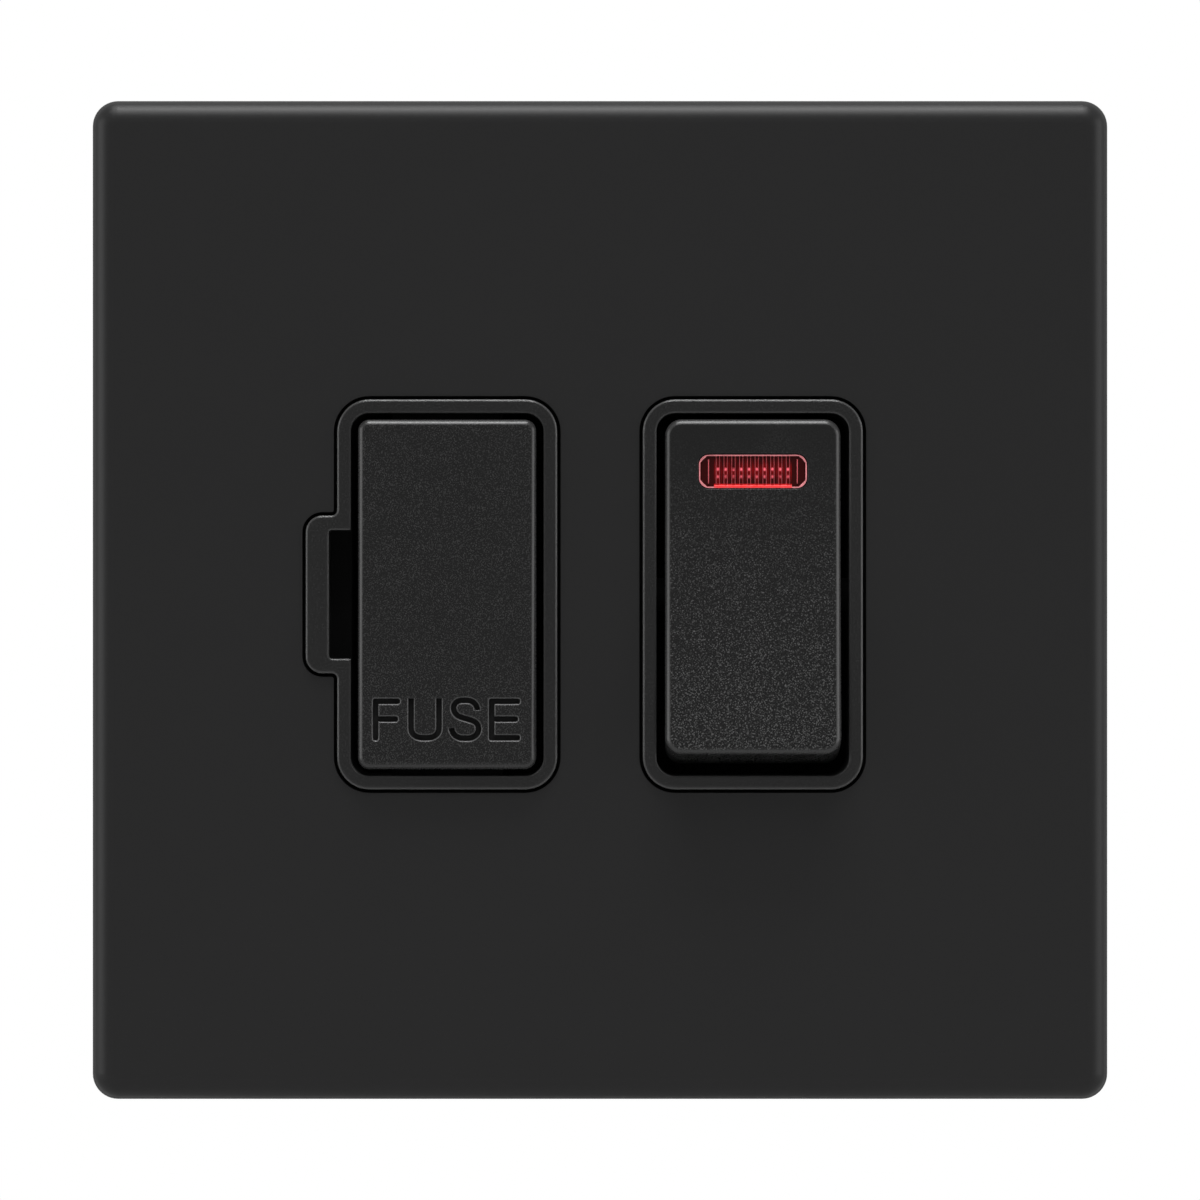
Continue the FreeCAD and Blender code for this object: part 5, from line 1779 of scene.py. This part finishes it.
@dataclass
class ScrewMaker:
    """A machine or housing screw whose thread is a screw-shaped sweep, driven from the back."""

    name: str
    tip: float
    under: float
    top: float
    shank: float
    head: float
    pitch: float
    thread_depth: float
    edge: float
    slot_width: float
    slot_depth: float
    crossed: bool = False
    sides: int = 32
    at_rim: float = 0.9
    edge_steps: int = 3
    overcut: float = 0.2 * MM
    blunt: float = 0.7
    blunt_length: float = 0.3 * MM
    cross_reach: float = 0.66
    slot_reach: float = 1.2
    thread_sides: int = 24
    thread_crest: float = 0.15
    thread_share: float = 0.8
    thread_root: float = 0.02 * MM
    run_out: float = 0.5 * MM
    profile_half: float = 0.001 * MM
    smooth_below: float = 35.0

    def core(self) -> Bench:
        """Head and core in one: a disc that is extruded, stepped in and given a blunt tip.

        Returns:
            The screw without its thread and slot.
        """
        radius = self.shank - self.thread_depth
        out, step = 1 / self.blunt, self.head / radius
        body = Bench(self.name).disc((0.0, self.tip, 0.0), radius * self.blunt, self.sides)
        body.edit().faces(lambda at, way: True)
        body.pull((0.0, self.blunt_length, 0.0)).swell((out, 1.0, out), (0.0, self.tip, 0.0))
        body.pull((0.0, self.under - self.tip - self.blunt_length, 0.0))
        body.pull((0.0, 0.0, 0.0)).swell((step, 1.0, step), (0.0, self.under, 0.0))
        body.pull((0.0, self.top - self.under, 0.0)).outward()
        body.edges(
            lambda a, b: min(a.y, b.y) > self.top - SAME_PLACE
            and min(a.xz.length, b.xz.length) > self.at_rim * self.head
        )
        return body.bevel(self.edge, self.edge_steps).leave()

    def recess(self) -> List[Bench]:
        """The cutters of the slot or cross in the head.

        Returns:
            One cutter, or two for a cross.
        """
        long = (self.cross_reach if self.crossed else self.slot_reach) * self.head
        wide = self.slot_width / 2
        made = []
        for index in range(2 if self.crossed else 1):
            x, z = (long, wide) if index == 0 else (wide, long)
            low = (-x, self.top - self.slot_depth, -z)
            made.append(Bench(f"recess_{index}").block(low, (x, self.top + self.overcut, z)))
        return made

    def thread(self) -> Bench:
        """The thread: one triangular profile swept round and along the shank.

        Returns:
            The thread, closed at both ends.
        """
        turns = max(1, int((self.under - self.tip - self.run_out) / self.pitch) - 1)
        base = self.shank - self.thread_depth - self.thread_root
        start, wide = self.tip + self.blunt_length, self.thread_share * self.pitch
        tool = Bench("thread").block(
            (base, start, -self.profile_half), (self.shank, start + wide, self.profile_half)
        )
        tool.edit().faces(lambda at, way: way.x > FACING)
        tool.swell((1.0, self.thread_crest, 1.0), (0.0, start + wide / 2, 0.0))
        tool.faces(lambda at, way: way.z > -FACING)
        bpy.ops.mesh.delete(type="FACE")
        tool.leave()
        tool.modifier(
            "SCREW",
            axis="Y",
            angle=2 * math.pi * turns,
            screw_offset=self.pitch * turns,
            steps=self.thread_sides * turns,
            render_steps=self.thread_sides * turns,
            use_merge_vertices=False,
            use_normal_calculate=True,
        )
        tool.edit("EDGE").weld(ONE_POINT / 10)
        bpy.ops.mesh.select_non_manifold()
        bpy.ops.mesh.edge_face_add()
        return tool.outward().leave()

    def build(self) -> Bench:
        """Models one screw about the line X = Z = 0.

        Returns:
            The screw.
        """
        screw = self.core()
        for tool in self.recess():
            screw.cut(tool)
        return screw.join([self.thread()]).smooth(self.smooth_below)


@dataclass
class TerminalBank:
    """The six clamp screws of the terminals, each slot turned its own way."""

    turns: Tuple[float, ...] = (0.0, 0.35, -0.5, 0.8, 0.15, -0.25)

    def screw(self) -> Bench:
        """One slotted clamp screw."""
        return ScrewMaker(
            "clamp_screw",
            tip=13.3 * MM,
            under=16.9 * MM,
            top=18.6 * MM,
            shank=1.72 * MM,
            head=2.8 * MM,
            pitch=0.7 * MM,
            thread_depth=0.28 * MM,
            edge=0.3 * MM,
            slot_width=0.9 * MM,
            slot_depth=0.8 * MM,
        ).build()

    def build(self, wardrobe: Wardrobe) -> None:
        """Models one clamp screw and sets six copies.

        Args:
            wardrobe: The finishes.
        """
        first = self.screw()
        material = wardrobe.material("zinc_steel")
        places = [(cable, wire) for cable in Cable for wire in Wire]
        for (cable, wire), turn in zip(places, self.turns):
            name = f"{cable.name.lower()}_{wire.name.lower()}"
            screw = first.twin(f"clamp_screw_{name}", (wire.value, 0.0, cable.value), turn)
            screw.done("unit", "zinc_steel", material, [f"terminal_screw_{name}"])
        bpy.data.objects.remove(first.obj)


@dataclass
class HousingScrews:
    """The four cross-headed screws that clamp the two housings together."""

    x: float = 21.4 * MM
    z: float = 26.9 * MM
    lift: float = 0.5 * MM
    first_turn: float = 0.2
    next_turn: float = 0.55

    def screw(self) -> Bench:
        """One cross-headed housing screw."""
        return ScrewMaker(
            "housing_screw",
            tip=0.5 * MM,
            under=16.8 * MM,
            top=18.3 * MM,
            shank=1.2 * MM,
            head=2.2 * MM,
            pitch=0.9 * MM,
            thread_depth=0.22 * MM,
            edge=0.5 * MM,
            slot_width=0.6 * MM,
            slot_depth=0.8 * MM,
            crossed=True,
            sides=24,
        ).build()

    def build(self, wardrobe: Wardrobe) -> bpy.types.Object:
        """Models one screw and joins four copies into one piece.

        Args:
            wardrobe: The finishes.

        Returns:
            The four screws.
        """
        first = self.screw()
        made = []
        turn = self.first_turn
        for x in (-self.x, self.x):
            for z in (self.lift - self.z, self.lift + self.z):
                made.append(first.twin("housing_screws_threaded", (x, 0.0, z), turn))
                turn += self.next_turn
        bpy.data.objects.remove(first.obj)
        screws = made[0].join(made[1:])
        material = wardrobe.material("zinc_steel")
        return screws.done("unit", "zinc_steel", material, ["housing_screws"])


@dataclass(frozen=True)
class SoftBox:
    """A rectangular lamp that looks at the unit; its size in metres, its power in watts."""

    name: str
    place: Point
    size: Span
    power: float

    def build(self) -> None:
        """Sets the lamp up."""
        data = bpy.data.lights.new(self.name, "AREA")
        data.shape = "RECTANGLE"
        data.size, data.size_y = self.size
        data.energy = self.power
        lamp = bpy.data.objects.new(self.name, data)
        lamp.location = self.place
        lamp.rotation_euler = Vector(self.place).to_track_quat("Z", "Y").to_euler()
        bpy.context.scene.collection.objects.link(lamp)


@dataclass
class Studio:
    """Floor, lamps, backdrop and the camera that looks straight at the plate."""

    distance: float = 0.9065
    lens: float = 300.0
    sensor: float = 36.0
    nearest: float = 0.01
    farthest: float = 20.0
    floor_z: float = -0.10
    floor_radius: float = 0.6
    floor_sides: int = 96
    floor_shades: Span = (0.72, 0.76)
    floor_roughness: float = 0.7
    floor_gloss: float = 0.05
    floor_specular: float = 0.2
    floor_cloud: float = 0.2
    ambient: float = 0.15
    lamps: Tuple[SoftBox, ...] = (
        SoftBox("key_above", (0.0, -0.24, 0.85), (0.5, 0.8), 12.5),
        SoftBox("rim_above", (0.0, -0.22, 0.88), (0.5, 0.1), 5.5),
        SoftBox("left_side", (-0.87, -0.23, 0.1), (0.6, 0.6), 5.2),
        SoftBox("right_side", (0.87, -0.23, 0.1), (0.6, 0.6), 5.0),
    )

    def camera(self) -> None:
        """Sets the camera on the line through the middle of the plate."""
        data = bpy.data.cameras.new("camera")
        data.lens = self.lens
        data.sensor_width = self.sensor
        data.clip_start = self.nearest
        data.clip_end = self.farthest
        camera = bpy.data.objects.new("camera", data)
        camera.location = (0.0, -self.distance, 0.0)
        camera.rotation_euler = (math.pi / 2, 0.0, 0.0)
        bpy.context.scene.collection.objects.link(camera)
        bpy.context.scene.camera = camera

    def floor(self) -> None:
        """A round pale floor well below the unit."""
        floor = Bench("floor").disc((0.0, 0.0, 0.0), self.floor_radius, self.floor_sides)
        floor.obj.rotation_euler = (math.pi / 2, 0, 0)
        floor.obj.location = (0.0, 0.0, self.floor_z)
        floor.settle()
        graph = Graph("floor_paint")
        tone = graph.grain(self.floor_cloud)
        dark, pale = (grey(shade) for shade in self.floor_shades)
        material = graph.finish(
            Base_Color=graph.blended(tone, dark, pale),
            Roughness=(self.floor_roughness + tone * self.floor_gloss).clamped(),
            Specular_IOR_Level=self.floor_specular,
        )
        floor.obj.data.materials.append(material)

    def sky(self) -> None:
        """White where the camera, gloss or clear glass sees it, and a softer fill elsewhere."""
        world = bpy.data.worlds.new("studio")
        bpy.context.scene.world = world
        world.use_nodes = True
        graph = Nodes(world.node_tree)
        seen = graph.node("ShaderNodeLightPath", out="Is Camera Ray")
        for ray in ("Is Glossy Ray", "Is Transmission Ray"):
            seen = seen.larger(graph.node("ShaderNodeLightPath", out=ray))
        fill, white = (
            graph.node("ShaderNodeBackground", sockets={"Color": grey(1.0), "Strength": strength})
            for strength in (self.ambient, 1.0)
        )
        mix = graph.node("ShaderNodeMixShader", sockets={0: seen, 1: fill, 2: white})
        graph.add("ShaderNodeOutputWorld", sockets={0: mix})

    def build(self) -> None:
        """Sets the whole studio up."""
        self.camera()
        self.floor()
        self.sky()
        for lamp in self.lamps:
            lamp.build()
        bpy.context.scene.view_settings.view_transform = "Standard"


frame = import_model()


def main() -> None:
    """Builds the classes in order and reports each piece."""
    logging.basicConfig(level=logging.INFO, format="%(name)s: %(message)s")
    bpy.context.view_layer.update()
    wardrobe = Wardrobe()
    wardrobe.dress(frame)
    FuseDrawer().build(frame, wardrobe)
    IndicatorLens().build(wardrobe)
    TerminalBank().build(wardrobe)
    HousingScrews().build(wardrobe)
    Studio().build()


if __name__ == "__main__":
    main()
